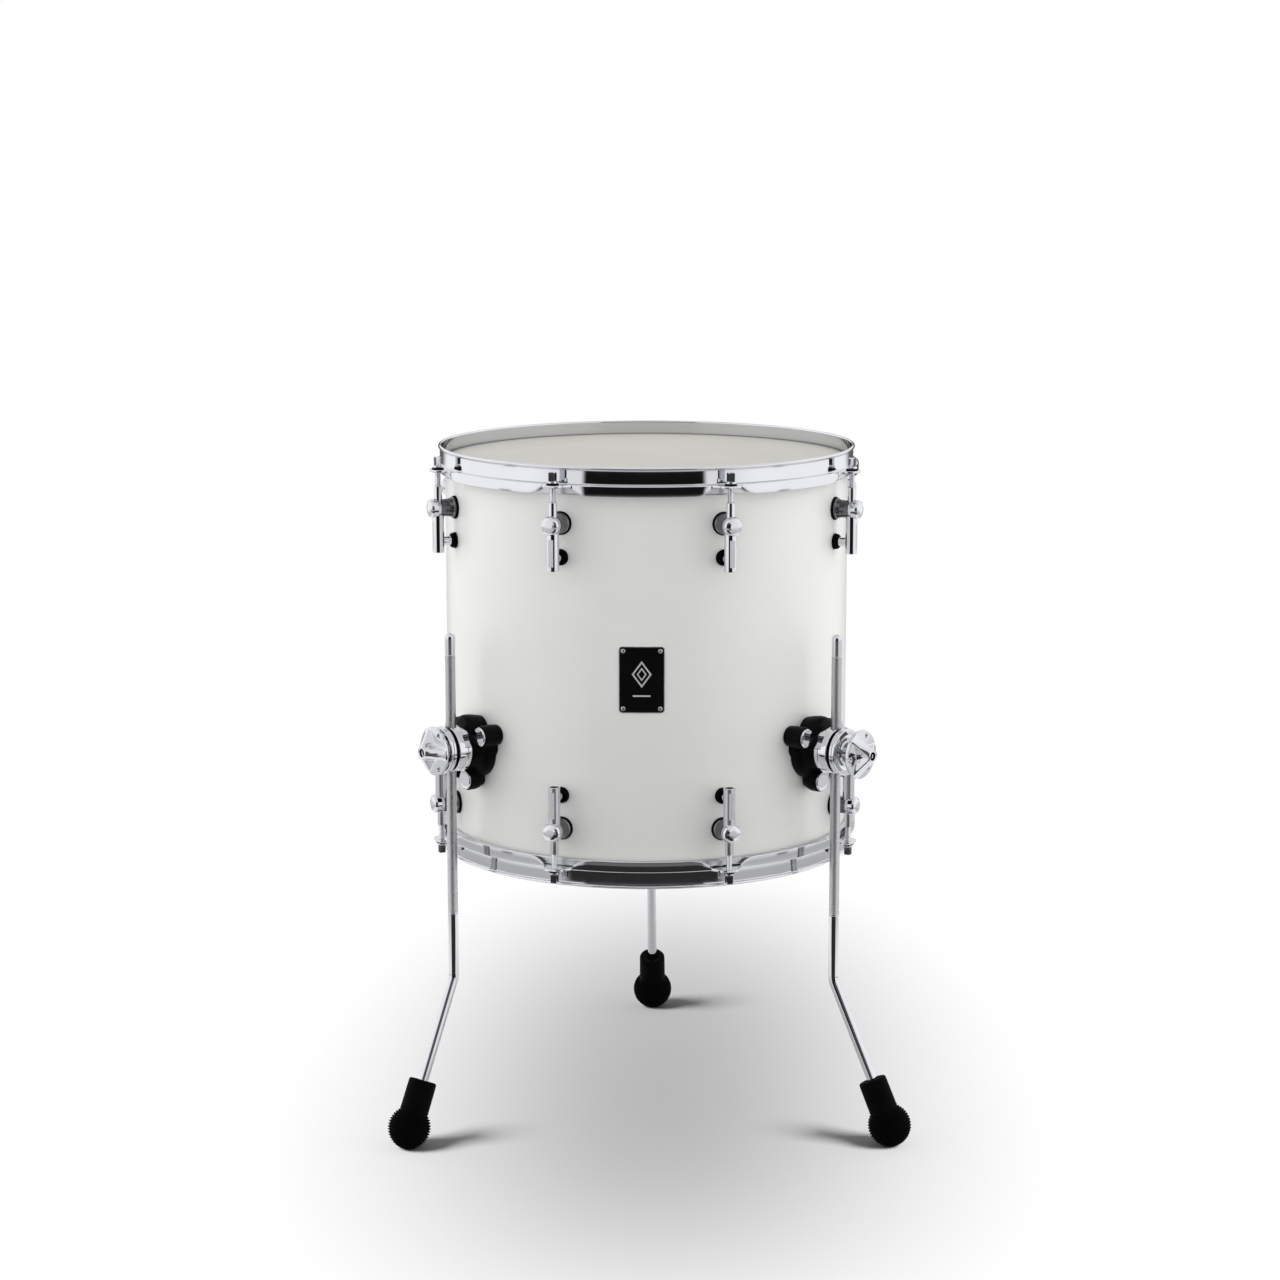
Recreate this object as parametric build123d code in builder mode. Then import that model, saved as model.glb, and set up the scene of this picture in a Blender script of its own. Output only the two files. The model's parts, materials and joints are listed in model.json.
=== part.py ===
from build123d import *
import math
import os

# Floor tom, 16 in wide and 15 in deep, on three adjustable legs.
# Millimetres. Origin on the floor, under the drum's axis. +Z up, -Y is the badge side.
# A piece that repeats around the drum is drawn once at the front (-Y) and batter end,
# then turned about Z and mirrored about the shell's middle.

# ---------------------------------------------------------------- driving dimensions
SHELL_R = 202.5            # outside radius of the shell
SHELL_T = 6.0              # shell wall
SHELL_IN = SHELL_R - SHELL_T
SHELL_LOW = 282.0          # lower bearing edge
SHELL_TOP = 663.0          # upper bearing edge
MID = (SHELL_LOW + SHELL_TOP) / 2
MID_PLANE = Plane.XY.offset(MID)
EDGE_R = 201.2             # radius of the bearing edge's crest

HOOP_T = 2.3               # hoop sheet
HOOP_R = 205.5             # inside radius of the hoop wall
RIM_Z = SHELL_TOP + 14.1   # top of the hoop
FLANGE_LOW = 5.3           # underside of the hoop's flange, below the bearing edge
FLANGE_Z = SHELL_TOP - FLANGE_LOW
FLANGE_TOP = FLANGE_Z + HOOP_T
SKIRT_R = 213.5            # outside radius of the hoop's skirt
SKIRT_LOW = 13.6           # lower lip of the skirt, below the bearing edge
EAR_R = 227.3              # reach of the hoop's ears
EAR_W = 21.0               # width of an ear

ROD_R = 220.2              # radius of the circle of tension rods
ROD_XY = (0, -ROD_R)
ROD_D = 5.8                # M6 rod over its thread
ROD_LOW = SHELL_TOP - 76.0
LUG_COUNT = 8
LUG_START = 22.5
LUG_DROP = 41.5            # axis of the lug's body, below the bearing edge
PIN_DROP = 74.3            # axis of the lower fixing, below the bearing edge
LUG_Z = SHELL_TOP - LUG_DROP
PIN_Z = SHELL_TOP - PIN_DROP
TUBE_D = 11.8
TUBE_TOP, TUBE_LOW = SHELL_TOP - 37.0, SHELL_TOP - 85.5
NUT_D = 8.2                # swivel nut
NUT_TOP, NUT_LOW = SHELL_TOP - 19.5, SHELL_TOP - 63.0

# bracket: angle from the front, how far its wing nut is backed off, turn of its leg in the clamp
LEGS = {
    "front_left": (-52.5, 0.0, 11.0),
    "front_right": (52.5, 10.0, 11.0),
    "rear": (180.0, 0.0, 0.0),
}
BRACKET_ANGLES = [angle for angle, _, _ in LEGS.values()]
BRACKET_Z = 392.0
LOBES = [(26.0, 14.0), (-26.0, 14.0), (0.0, -33.0)]    # (x, y) about the bracket's centre
LOBE_D = 21.0
LOBE_R = 220.6             # reach of the lobes
CLAMP_D = 45.0
CLAMP_R0, CLAMP_R1 = 226.5, 244.8
CAP_R1 = 251.4
STUD_D = 8.0
STUD_R1 = 268.5
WING_RIM = 24.0            # wing nut's own outside radius
WING_R0 = 254.3            # its shoulder when tight
WING_R1 = 271.7            # its nose when tight

LEG_R = 237.0              # radius of the leg axes
LEG_XY = (0, -LEG_R)
LEG_D = 10.0
LEG_TOP = 507.3
LEG_BEND_Z = 160.5
BUSH_D = 11.8
BUSH_BORE = BUSH_D / 2 + 0.06
SPREAD = 62.5              # how far each foot stands out from its leg's axis
BALL_R = 21.4              # ball of the foot
BALL_Z = 20.4              # its centre: the floor cuts a flat on it
NECK_R = 14.1

os.makedirs("parts", exist_ok=True)

# ---------------------------------------------------------------- shared helpers
UP, SIDE = (0, 0, 1), (1, 0, 0)


def outward(theta, r=0.0, z=0.0):
    """Plane at radius r and height z, theta degrees from the front.

    Seen from outside: x to the right, y up, z outward."""
    t = math.radians(theta)
    return Plane(
        origin=(r * math.sin(t), -r * math.cos(t), z),
        x_dir=(math.cos(t), math.sin(t), 0),
        z_dir=(math.sin(t), -math.cos(t), 0),
    )


def section(z, normal):
    """Plane through the drum's axis at height z whose x is the radius toward the front."""
    return Plane(origin=(0, 0, z), x_dir=(0, -1, 0), z_dir=normal)


def front_axis(z):
    """The radial line toward the front at height z."""
    return Axis((0, 0, z), (0, -1, 0))


def both_sides(half):
    """Whole outline from (radius, half width) points: out along one side, back on the other."""
    return [(r, -w) for r, w in half] + [(r, w) for r, w in reversed(half)]


def save(name, builder):
    builder.part.label = name
    export_step(builder.part, f"parts/{name}.step")


def save_both_ends(name, batter):
    """Save a batter piece and its mirror image at the resonant end."""
    save(f"batter_{name}", batter)
    with BuildPart() as resonant:
        add(batter.part)
        mirror(about=MID_PLANE, mode=Mode.REPLACE)
    save(f"resonant_{name}", resonant)


def lug_ring(piece):
    """A copy at each lug of the batter end, and their mirror images at the resonant end."""
    with BuildPart() as ring:
        with PolarLocations(0, LUG_COUNT, start_angle=LUG_START):
            add(piece.part)
        mirror(about=MID_PLANE)
    return ring


def at_brackets(piece):
    """A copy at each leg bracket."""
    with BuildPart() as three:
        for angle in BRACKET_ANGLES:
            with PolarLocations(0, 1, start_angle=angle):
                add(piece.part)
    return three


def screws(start, z, spots, head, shank, socket):
    """Hex-socket screws pointing outward from radius start, at (x, y) spots about height z.

    head, shank and socket are each (radius, length), all measured from start."""
    with BuildPart() as piece:
        for spot in spots:
            for radius, length in (head, shank):
                with BuildSketch(outward(0, start, z)):
                    with Locations(spot):
                        Circle(radius)
                extrude(amount=length)
            with BuildSketch(outward(0, start, z)):
                with Locations(spot):
                    RegularPolygon(socket[0], 6)
            extrude(amount=socket[1], mode=Mode.SUBTRACT)
    return piece


def washers(start, z, spots, radius, hole, thickness):
    """Flat washers facing outward from radius start, at (x, y) spots about height z."""
    with BuildPart() as piece:
        with BuildSketch(outward(0, start, z)):
            with Locations(*spots):
                Circle(radius)
                Circle(hole, mode=Mode.SUBTRACT)
        extrude(amount=thickness)
    return piece


# ---------------------------------------------------------------- shell
lug_angles = [LUG_START + 360 / LUG_COUNT * i for i in range(LUG_COUNT)]

EDGE_FLAT = 0.25           # half width of the bearing edge's crest
EDGE_IN, EDGE_OUT = 4.7, 1.1    # height of the bearing edge's inner and outer slopes
LUG_HOLE_R = 2.75
BRACKET_HOLE_R = 3.3
DRILL_R = SHELL_IN - 4     # cuts through the wall start here
DRILL_L = SHELL_T + 8
VENT_ANGLE, VENT_D = 202.5, 12.0
BADGE_W, BADGE_H, BADGE_T = 43.5, 64.2, 0.9
RIVET_PITCH = (35.5, 56.0)      # across, up
RIVET_HOLE_R = 1.25

with BuildPart() as shell:
    with BuildSketch(Plane.XZ):
        with BuildLine():
            Polyline(
                (SHELL_IN, SHELL_LOW + EDGE_IN), (EDGE_R - EDGE_FLAT, SHELL_LOW),
                (EDGE_R + EDGE_FLAT, SHELL_LOW), (SHELL_R, SHELL_LOW + EDGE_OUT),
                (SHELL_R, SHELL_TOP - EDGE_OUT), (EDGE_R + EDGE_FLAT, SHELL_TOP),
                (EDGE_R - EDGE_FLAT, SHELL_TOP), (SHELL_IN, SHELL_TOP - EDGE_IN), close=True,
            )
        make_face()
    revolve(axis=Axis.Z)
    # lug holes, two to a lug, at both ends
    for angle in lug_angles:
        for z in (LUG_Z, PIN_Z, SHELL_LOW + PIN_DROP, SHELL_LOW + LUG_DROP):
            with BuildSketch(outward(angle, DRILL_R, z)):
                Circle(LUG_HOLE_R)
            extrude(amount=DRILL_L, mode=Mode.SUBTRACT)
    for angle in BRACKET_ANGLES:
        with BuildSketch(outward(angle, DRILL_R - 2, BRACKET_Z)):
            with Locations(*LOBES):
                Circle(BRACKET_HOLE_R)
        extrude(amount=DRILL_L + 2, mode=Mode.SUBTRACT)
    with BuildSketch(outward(VENT_ANGLE, DRILL_R, MID)):
        Circle(VENT_D / 2)
    extrude(amount=DRILL_L, mode=Mode.SUBTRACT)
    with BuildSketch(outward(0, DRILL_R, MID)):
        with GridLocations(*RIVET_PITCH, 2, 2):
            Circle(RIVET_HOLE_R)
    extrude(amount=DRILL_L, mode=Mode.SUBTRACT)
save("shell", shell)

# sleeve through the wall, a rounded flange outside, and the bore
GROMMET_BORE_R, GROMMET_FLANGE_R = 4.2, 9.0
with BuildPart() as vent_grommet:
    with BuildSketch(outward(VENT_ANGLE, SHELL_IN - 1.2, MID)):
        Circle(VENT_D / 2 - 0.05)
    extrude(amount=SHELL_T + 1.4)
    with BuildSketch(outward(VENT_ANGLE, SHELL_R + 0.1, MID)):
        Circle(GROMMET_FLANGE_R)
    extrude(amount=1.5)
    fillet(vent_grommet.edges().filter_by(GeomType.CIRCLE).group_by(SortBy.RADIUS)[-1], 0.6)
    with BuildSketch(outward(VENT_ANGLE, DRILL_R, MID)):
        Circle(GROMMET_BORE_R)
    extrude(amount=DRILL_L + 2, mode=Mode.SUBTRACT)
save("vent_grommet", vent_grommet)

# ---------------------------------------------------------------- badge
SEAT_R = SHELL_R + 0.03    # inner face of the badge and of the lug pads

# a flat blank cut to the shell's curve
with BuildPart() as badge_plate:
    with BuildSketch(outward(0, SHELL_R - 6, MID)):
        RectangleRounded(BADGE_W, BADGE_H, 3.2)
        with GridLocations(*RIVET_PITCH, 2, 2):
            Circle(RIVET_HOLE_R, mode=Mode.SUBTRACT)
    extrude(amount=10)
    with BuildSketch(Plane.XY.offset(MID - 50)):
        Circle(SEAT_R + BADGE_T)
        Circle(SEAT_R, mode=Mode.SUBTRACT)
    extrude(amount=100, mode=Mode.INTERSECT)
save("badge_plate", badge_plate)

RIVET_R, RIVET_HEAD_R = 1.2, 2.1
with BuildPart() as badge_rivets:
    for x in (-RIVET_PITCH[0] / 2, RIVET_PITCH[0] / 2):
        for y in (-RIVET_PITCH[1] / 2, RIVET_PITCH[1] / 2):
            # the shank runs straight back, the head lies square to the curved badge
            lean = math.degrees(math.asin(x / SHELL_R))
            with BuildSketch(outward(0, SHELL_IN - 1.5, MID)):
                with Locations((x, y)):
                    Circle(RIVET_R)
            extrude(amount=SHELL_T + 2)
            with BuildSketch(outward(lean, SHELL_R + BADGE_T + 0.05, MID + y)):
                Circle(RIVET_HEAD_R)
            extrude(amount=0.75, taper=25)
save("badge_rivets", badge_rivets)

# ---------------------------------------------------------------- heads
FILM = 0.35                # head film
FILM_Z = SHELL_TOP + 0.02  # underside of the film
COLLAR_R = SHELL_R + 0.42  # inside radius of the film's collar
COLLAR_LOW = SHELL_TOP - 12.4
RING_R0, RING_R1 = 203.35, 208.4   # flesh ring
RING_DROP = (5.4, 13.2)    # its top and bottom, below the bearing edge

with BuildPart() as batter_head:
    with BuildSketch(Plane.XZ):
        with BuildLine():
            Polyline(
                (0, FILM_Z), (EDGE_R + 0.6, FILM_Z), (COLLAR_R, SHELL_TOP - 1.2),
                (COLLAR_R, COLLAR_LOW), (COLLAR_R + FILM, COLLAR_LOW),
                (COLLAR_R + FILM, SHELL_TOP - 1.0), (EDGE_R + 0.75, FILM_Z + FILM),
                (0, FILM_Z + FILM), close=True,
            )
        make_face()
    revolve(axis=Axis.Z)
save_both_ends("head", batter_head)

with BuildPart() as batter_flesh_ring:
    with BuildSketch(Plane.XZ):
        with Locations(((RING_R0 + RING_R1) / 2, SHELL_TOP - sum(RING_DROP) / 2)):
            RectangleRounded(RING_R1 - RING_R0, RING_DROP[1] - RING_DROP[0], 1.4)
    revolve(axis=Axis.Z)
save_both_ends("flesh_ring", batter_flesh_ring)

# ---------------------------------------------------------------- hoops
# half of an ear's outline: (radius, half width)
EAR_HALF = [
    (HOOP_R + 1.2, 17), (SKIRT_R - 0.5, 17), (EAR_R - 7, EAR_W / 2),
    (EAR_R - 2, EAR_W / 2 - 2.2), (EAR_R, EAR_W / 2 - 6),
]
EAR_HOLE_R = 3.5

with BuildPart() as ear:
    with BuildSketch(section(FLANGE_Z, UP)):
        with BuildLine():
            Polyline(*both_sides(EAR_HALF), close=True)
        make_face()
    extrude(amount=HOOP_T)

with BuildPart() as batter_hoop:
    with BuildSketch(Plane.XZ):
        with BuildLine():
            Polyline(
                (HOOP_R, FLANGE_Z), (SKIRT_R - HOOP_T, FLANGE_Z),
                (SKIRT_R - HOOP_T, SHELL_TOP - SKIRT_LOW), (SKIRT_R, SHELL_TOP - SKIRT_LOW),
                (SKIRT_R, FLANGE_TOP), (HOOP_R + HOOP_T, FLANGE_TOP),
                (HOOP_R + HOOP_T, RIM_Z - 2.6), (HOOP_R + 3.7, RIM_Z - 2.2),
                (HOOP_R + 3.9, RIM_Z - 0.8), (HOOP_R + 3.1, RIM_Z),
                (HOOP_R + 0.9, RIM_Z), (HOOP_R, RIM_Z - 1.2), close=True,
            )
        make_face()
    revolve(axis=Axis.Z)
    for angle in lug_angles:
        # the skirt is cut away on a slope at each side of an ear
        with BuildSketch(outward(angle, SKIRT_R - 7.0, SHELL_TOP)):
            with BuildLine():
                Polyline(
                    (-27, -SKIRT_LOW - 1), (27, -SKIRT_LOW - 1),
                    (16, -FLANGE_LOW - 0.2), (-16, -FLANGE_LOW - 0.2), close=True,
                )
            make_face()
        extrude(amount=12, mode=Mode.SUBTRACT)
    with PolarLocations(0, LUG_COUNT, start_angle=LUG_START):
        add(ear.part)
    with BuildSketch(Plane.XY.offset(FLANGE_Z - 1)):
        with PolarLocations(ROD_R, LUG_COUNT, start_angle=LUG_START):
            Circle(EAR_HOLE_R)
    extrude(amount=HOOP_T + 2, mode=Mode.SUBTRACT)
save_both_ends("hoop", batter_hoop)

# ---------------------------------------------------------------- tension rods
ROD_WASHER_R, ROD_WASHER_HOLE, ROD_WASHER_T = 5.9, 3.1, 1.7
ROD_COLLAR_R, ROD_COLLAR_T = 4.9, 1.9
ROD_SQUARE, ROD_SQUARE_H = 6.35, 8.6    # square drive head

with BuildPart() as batter_rod_washers:
    with BuildSketch(Plane.XY.offset(FLANGE_TOP + 0.02)):
        with PolarLocations(ROD_R, LUG_COUNT, start_angle=LUG_START):
            Circle(ROD_WASHER_R)
            Circle(ROD_WASHER_HOLE, mode=Mode.SUBTRACT)
    extrude(amount=ROD_WASHER_T)
    washer_tops = batter_rod_washers.faces().sort_by(Axis.Z)[-LUG_COUNT:]
    chamfer(washer_tops.edges().filter_by(lambda e: e.radius > 5), 0.5)
save_both_ends("rod_washers", batter_rod_washers)

with BuildPart() as front_rod:
    with BuildSketch(Plane.XY.offset(ROD_LOW)):
        with Locations(ROD_XY):
            Circle(ROD_D / 2)
    extrude(amount=FLANGE_TOP + 1.8 - ROD_LOW)
    chamfer(front_rod.faces().sort_by(Axis.Z)[0].edges(), 0.8)
    with BuildSketch(Plane.XY.offset(FLANGE_TOP + 1.76)):
        with Locations(ROD_XY):
            Circle(ROD_COLLAR_R)
    extrude(amount=ROD_COLLAR_T)
    with BuildSketch(Plane.XY.offset(FLANGE_TOP + 3.6)):
        with Locations(ROD_XY):
            RectangleRounded(ROD_SQUARE, ROD_SQUARE, 0.9)
    extrude(amount=ROD_SQUARE_H)
    chamfer(front_rod.faces().sort_by(Axis.Z)[-1].edges(), 0.6)

for i, angle in enumerate(lug_angles):
    with BuildPart() as batter_rod:
        with PolarLocations(0, 1, start_angle=angle):
            add(front_rod.part)
    save_both_ends(f"rod_{i + 1}", batter_rod)

# ---------------------------------------------------------------- lugs
TUBE_STEM_R = 4.6          # stem from the tube to the lower fixing
LUG_TAP_R = 2.55           # screw holes in the tube's stem and the body
LUG_PAD_HOLE = 2.8         # screw holes in the gasket and isolator
LUG_BACK = SHELL_R + 2.1   # back face of the body
PANEL_W, PANEL_H = 7.0, 26.0

with BuildPart() as lug_tube:
    with BuildSketch(Plane.XY.offset(TUBE_LOW)):
        with Locations(ROD_XY):
            Circle(TUBE_D / 2)
    extrude(amount=TUBE_TOP - TUBE_LOW)
    with BuildSketch(outward(0, SHELL_R + 5.2, PIN_Z)):
        Circle(TUBE_STEM_R)
    extrude(amount=ROD_R - SHELL_R - 7.0)
    with BuildSketch(Plane.XY.offset(TUBE_LOW - 1)):
        with Locations(ROD_XY):
            Circle(NUT_D / 2 + 0.08)
    extrude(amount=TUBE_TOP - TUBE_LOW + 2, mode=Mode.SUBTRACT)
    # flat panel let into the outer face
    with BuildSketch(outward(0, ROD_R + TUBE_D / 2 - 0.75, TUBE_LOW + 17.5)):
        RectangleRounded(PANEL_W, PANEL_H, 1.2)
    extrude(amount=3, mode=Mode.SUBTRACT)
    with BuildSketch(outward(0, SHELL_R, PIN_Z)):
        Circle(LUG_TAP_R)
    extrude(amount=11.0, mode=Mode.SUBTRACT)
save("lug_tubes", lug_ring(lug_tube))

with BuildPart() as lug_body:
    # spool turned about the radial line through the lug, then bored for the tube
    with BuildSketch(section(LUG_Z, UP)):
        with BuildLine():
            base = Polyline(
                (LUG_BACK, 0), (LUG_BACK, 10.3), (SHELL_R + 3.4, 10.3), (SHELL_R + 4.4, 9.6)
            )
            waist = ThreePointArc(base @ 1, (SHELL_R + 11.5, 8.5), (ROD_R + 1.6, 9.2))
            barrel = Line(waist @ 1, (ROD_R + 5.3, 9.2))
            shoulder = ThreePointArc(barrel @ 1, (ROD_R + 7.7, 8.2), (ROD_R + 9.0, 6.4))
            nose = ThreePointArc(shoulder @ 1, (ROD_R + 9.9, 4.2), (ROD_R + 10.3, 1.8))
            Polyline(nose @ 1, (ROD_R + 10.3, 0), base @ 0)
        make_face()
    revolve(axis=front_axis(LUG_Z))
    with BuildSketch(Plane.XY.offset(LUG_Z - 20)):
        with Locations(ROD_XY):
            Circle(TUBE_D / 2 + 0.03)
    extrude(amount=20 + TUBE_TOP - LUG_Z + 0.05, mode=Mode.SUBTRACT)
    with BuildSketch(Plane.XY.offset(LUG_Z)):
        with Locations(ROD_XY):
            Circle(NUT_D / 2 + 0.1)
    extrude(amount=20, mode=Mode.SUBTRACT)
    with BuildSketch(outward(0, SHELL_R, LUG_Z)):
        Circle(LUG_TAP_R)
    extrude(amount=10.6, mode=Mode.SUBTRACT)
save("lug_bodies", lug_ring(lug_body))

# the gasket and isolator start inside the shell and are trimmed to its curve
with BuildPart() as lug_gasket:
    with BuildSketch(outward(0, SHELL_R - 3, LUG_Z)):
        Circle(11.2)
        Circle(LUG_PAD_HOLE, mode=Mode.SUBTRACT)
    extrude(amount=5.05)
    with BuildSketch(Plane.XY.offset(LUG_Z - 15)):
        Circle(SEAT_R)
    extrude(amount=30, mode=Mode.SUBTRACT)
save("lug_gaskets", lug_ring(lug_gasket))

with BuildPart() as lug_isolator:
    with BuildSketch(outward(0, SHELL_R - 3, PIN_Z)):
        Circle(7.9)
        Circle(LUG_PAD_HOLE, mode=Mode.SUBTRACT)
    extrude(amount=8.1)
    with BuildSketch(Plane.XY.offset(PIN_Z - 15)):
        Circle(SEAT_R)
    extrude(amount=30, mode=Mode.SUBTRACT)
    # groove around the rim
    with BuildSketch(outward(0, SHELL_R + 2.4, PIN_Z)):
        Circle(9.5)
        Circle(6.9, mode=Mode.SUBTRACT)
    extrude(amount=1.1, mode=Mode.SUBTRACT)
save("lug_isolators", lug_ring(lug_isolator))

with BuildPart() as lug_swivel_nut:
    with BuildSketch(Plane.XY.offset(NUT_LOW)):
        with Locations(ROD_XY):
            Circle(NUT_D / 2)
            Circle(ROD_D / 2 + 0.06, mode=Mode.SUBTRACT)
    extrude(amount=NUT_TOP - NUT_LOW)
    chamfer(lug_swivel_nut.faces().sort_by(Axis.Z)[-1].edges(), 0.4)
save("lug_swivel_nuts", lug_ring(lug_swivel_nut))

LUG_FIXINGS = [(0, 0), (0, PIN_Z - LUG_Z)]    # (x, y) about the body's axis
lug_screw = screws(
    SHELL_IN - 4.9, LUG_Z, LUG_FIXINGS, head=(4.4, 3.0), shank=(2.5, 20.6), socket=(2.2, 1.8)
)
save("lug_screws", lug_ring(lug_screw))

lug_washer = washers(SHELL_IN - 1.85, LUG_Z, LUG_FIXINGS, radius=6.0, hole=2.7, thickness=1.5)
save("lug_washers", lug_ring(lug_washer))

# ---------------------------------------------------------------- leg brackets
BASE_BACK = SHELL_R - 5    # the base starts inside the shell and is trimmed to its curve
NECK_END = CLAMP_R0 - 0.05
FOOT_DROP, HOOD_RISE = 5.6, 16    # centres of the round foot and the hood
SEAT_DEPTH = 1.2           # seats of the lobe caps

with BuildPart() as bracket_base:
    # neck that carries the clamp
    with BuildSketch(section(BRACKET_Z, SIDE)):
        with BuildLine():
            back = Polyline((BASE_BACK, 0), (BASE_BACK, 25.0), (SHELL_R + 8.0, 25.0))
            flare = ThreePointArc(back @ 1, (SHELL_R + 15.5, 23.6), (CLAMP_R0 - 3.0, 21.0))
            Polyline(flare @ 1, (NECK_END, 19.8), (NECK_END, 0), (BASE_BACK, 0))
        make_face()
    revolve(axis=front_axis(BRACKET_Z))
    # round foot on the shell, set below the clamp's centre
    with BuildSketch(outward(0, BASE_BACK, BRACKET_Z - FOOT_DROP)):
        Circle(25.8)
    extrude(amount=14.0)
    # hood above the clamp's centre
    with BuildSketch(outward(0, BASE_BACK, BRACKET_Z + HOOD_RISE)):
        Circle(15.9)
    extrude(amount=CLAMP_R0 - 2.5 - BASE_BACK)
    # three lobes
    with BuildSketch(outward(0, BASE_BACK, BRACKET_Z)):
        with Locations(*LOBES):
            Circle(LOBE_D / 2)
    extrude(amount=LOBE_R - BASE_BACK)
    with BuildSketch(Plane.XY.offset(BRACKET_Z - 60)):
        Circle(SHELL_R + 0.05)
    extrude(amount=120, mode=Mode.SUBTRACT)
    # screw holes
    with BuildSketch(outward(0, SHELL_R - 10, BRACKET_Z)):
        with Locations(*LOBES):
            Circle(3.05)
    extrude(amount=LOBE_R - SHELL_R + 8.5, mode=Mode.SUBTRACT)
    # seats for the lobe caps
    with BuildSketch(outward(0, LOBE_R - SEAT_DEPTH, BRACKET_Z)):
        with Locations(*LOBES):
            Circle(LOBE_D / 2 - 0.9)
    extrude(amount=30, mode=Mode.SUBTRACT)
save("bracket_bases", at_brackets(bracket_base))

with BuildPart() as bracket_lobe_cap:
    with BuildSketch(outward(0, LOBE_R - SEAT_DEPTH + 0.05, BRACKET_Z)):
        with Locations(*LOBES):
            Circle(LOBE_D / 2 - 1.0)
    extrude(amount=2.6)
    chamfer(bracket_lobe_cap.faces().sort_by(Axis.Y)[0:3].edges(), 0.6)
save("bracket_lobe_caps", at_brackets(bracket_lobe_cap))

bracket_screw = screws(
    SHELL_IN - 8.2, BRACKET_Z, LOBES, head=(5.0, 3.6), shank=(3.0, 26.5), socket=(2.8, 2.2)
)
save("bracket_screws", at_brackets(bracket_screw))

bracket_washer = washers(SHELL_IN - 4.5, BRACKET_Z, LOBES, radius=6.5, hole=3.15, thickness=1.4)
save("bracket_washers", at_brackets(bracket_washer))

# ---------------------------------------------------------------- clamps
EYE_D, EYE_H = 16.4, 14.0
POCKET_W, POCKET_H = EYE_D + 0.2, EYE_H + 0.2
CLAMP_STEP = 14.4          # length of the clamp's full-width part
CLAMP_LEN = CLAMP_R1 - CLAMP_R0

with BuildPart() as clamp_body:
    with BuildSketch(outward(0, CLAMP_R0, BRACKET_Z)):
        Circle(CLAMP_D / 2)
    extrude(amount=CLAMP_STEP)
    chamfer(clamp_body.edges().filter_by(GeomType.CIRCLE), 0.8)
    with BuildSketch(outward(0, CLAMP_R0 + 14.0, BRACKET_Z)):
        Circle(CLAMP_D / 2 - 2.6)
    extrude(amount=CLAMP_LEN - 14.0)
    # notches that clear the lobes
    with BuildSketch(outward(0, CLAMP_R0 - 1, BRACKET_Z)):
        with Locations(*LOBES):
            Circle(10.6)
    extrude(amount=9.0, mode=Mode.SUBTRACT)
    # bore for the leg's bush, and the pocket of the eyebolt, open to the outside
    with BuildSketch(Plane.XY.offset(BRACKET_Z - 30)):
        with Locations(LEG_XY):
            Circle(BUSH_BORE)
    extrude(amount=60, mode=Mode.SUBTRACT)
    with BuildSketch(Plane.XY.offset(BRACKET_Z - POCKET_H / 2)):
        with Locations(LEG_XY):
            Circle(POCKET_W / 2)
        with Locations((0, -LEG_R - 10)):
            Rectangle(POCKET_W, 20)
    extrude(amount=POCKET_H, mode=Mode.SUBTRACT)
save("clamp_bodies", at_brackets(clamp_body))

with BuildPart() as clamp_ring:
    with BuildSketch(outward(0, CLAMP_R0 + CLAMP_STEP + 0.05, BRACKET_Z)):
        Circle(CLAMP_D / 2 - 0.9)
        Circle(CLAMP_D / 2 - 2.55, mode=Mode.SUBTRACT)
    extrude(amount=CLAMP_LEN - CLAMP_STEP - 0.1)
    with BuildSketch(Plane.XY.offset(BRACKET_Z - 30)):
        with Locations(LEG_XY):
            Circle(BUSH_D / 2 + 0.4)
    extrude(amount=60, mode=Mode.SUBTRACT)
save("clamp_rings", at_brackets(clamp_ring))

with BuildPart() as clamp_cap:
    with BuildSketch(outward(0, CLAMP_R1 + 0.03, BRACKET_Z)):
        Circle(CLAMP_D / 2 + 0.5)
    extrude(amount=CAP_R1 - CLAMP_R1 - 0.03)
    chamfer(clamp_cap.faces().sort_by(Axis.Y)[0].edges(), 1.2)
    with BuildSketch(outward(0, CLAMP_R1 - 1, BRACKET_Z)):
        Rectangle(POCKET_W, POCKET_H)
    extrude(amount=2.2, mode=Mode.SUBTRACT)
    with BuildSketch(outward(0, CLAMP_R1 - 1, BRACKET_Z)):
        Circle(STUD_D / 2 + 0.15)
    extrude(amount=20, mode=Mode.SUBTRACT)
    # ring-shaped recess in the outer face
    with BuildSketch(outward(0, CAP_R1 - 1.0, BRACKET_Z)):
        Circle(15.0)
        Circle(10.2, mode=Mode.SUBTRACT)
    extrude(amount=3, mode=Mode.SUBTRACT)
save("clamp_caps", at_brackets(clamp_cap))

with BuildPart() as clamp_eyebolt:
    with BuildSketch(Plane.XY.offset(BRACKET_Z - EYE_H / 2)):
        with Locations(LEG_XY):
            Circle(EYE_D / 2)
    extrude(amount=EYE_H)
    with BuildSketch(outward(0, LEG_R + 4, BRACKET_Z)):
        Circle(STUD_D / 2)
    extrude(amount=STUD_R1 - LEG_R - 4)
    chamfer(clamp_eyebolt.faces().sort_by(Axis.Y)[0].edges(), 0.8)
    with BuildSketch(Plane.XY.offset(BRACKET_Z - 20)):
        with Locations(LEG_XY):
            Circle(BUSH_BORE)
    extrude(amount=40, mode=Mode.SUBTRACT)
save("clamp_eyebolts", at_brackets(clamp_eyebolt))

# ---------------------------------------------------------------- wing nut and captive washer
wing_washer = washers(
    CAP_R1 + 0.05, BRACKET_Z, [(0, 0)], radius=9.0, hole=STUD_D / 2 + 0.25, thickness=1.4
)

WING_BACK = CAP_R1 + 1.5
RIDGE_W = 6.4
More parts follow.
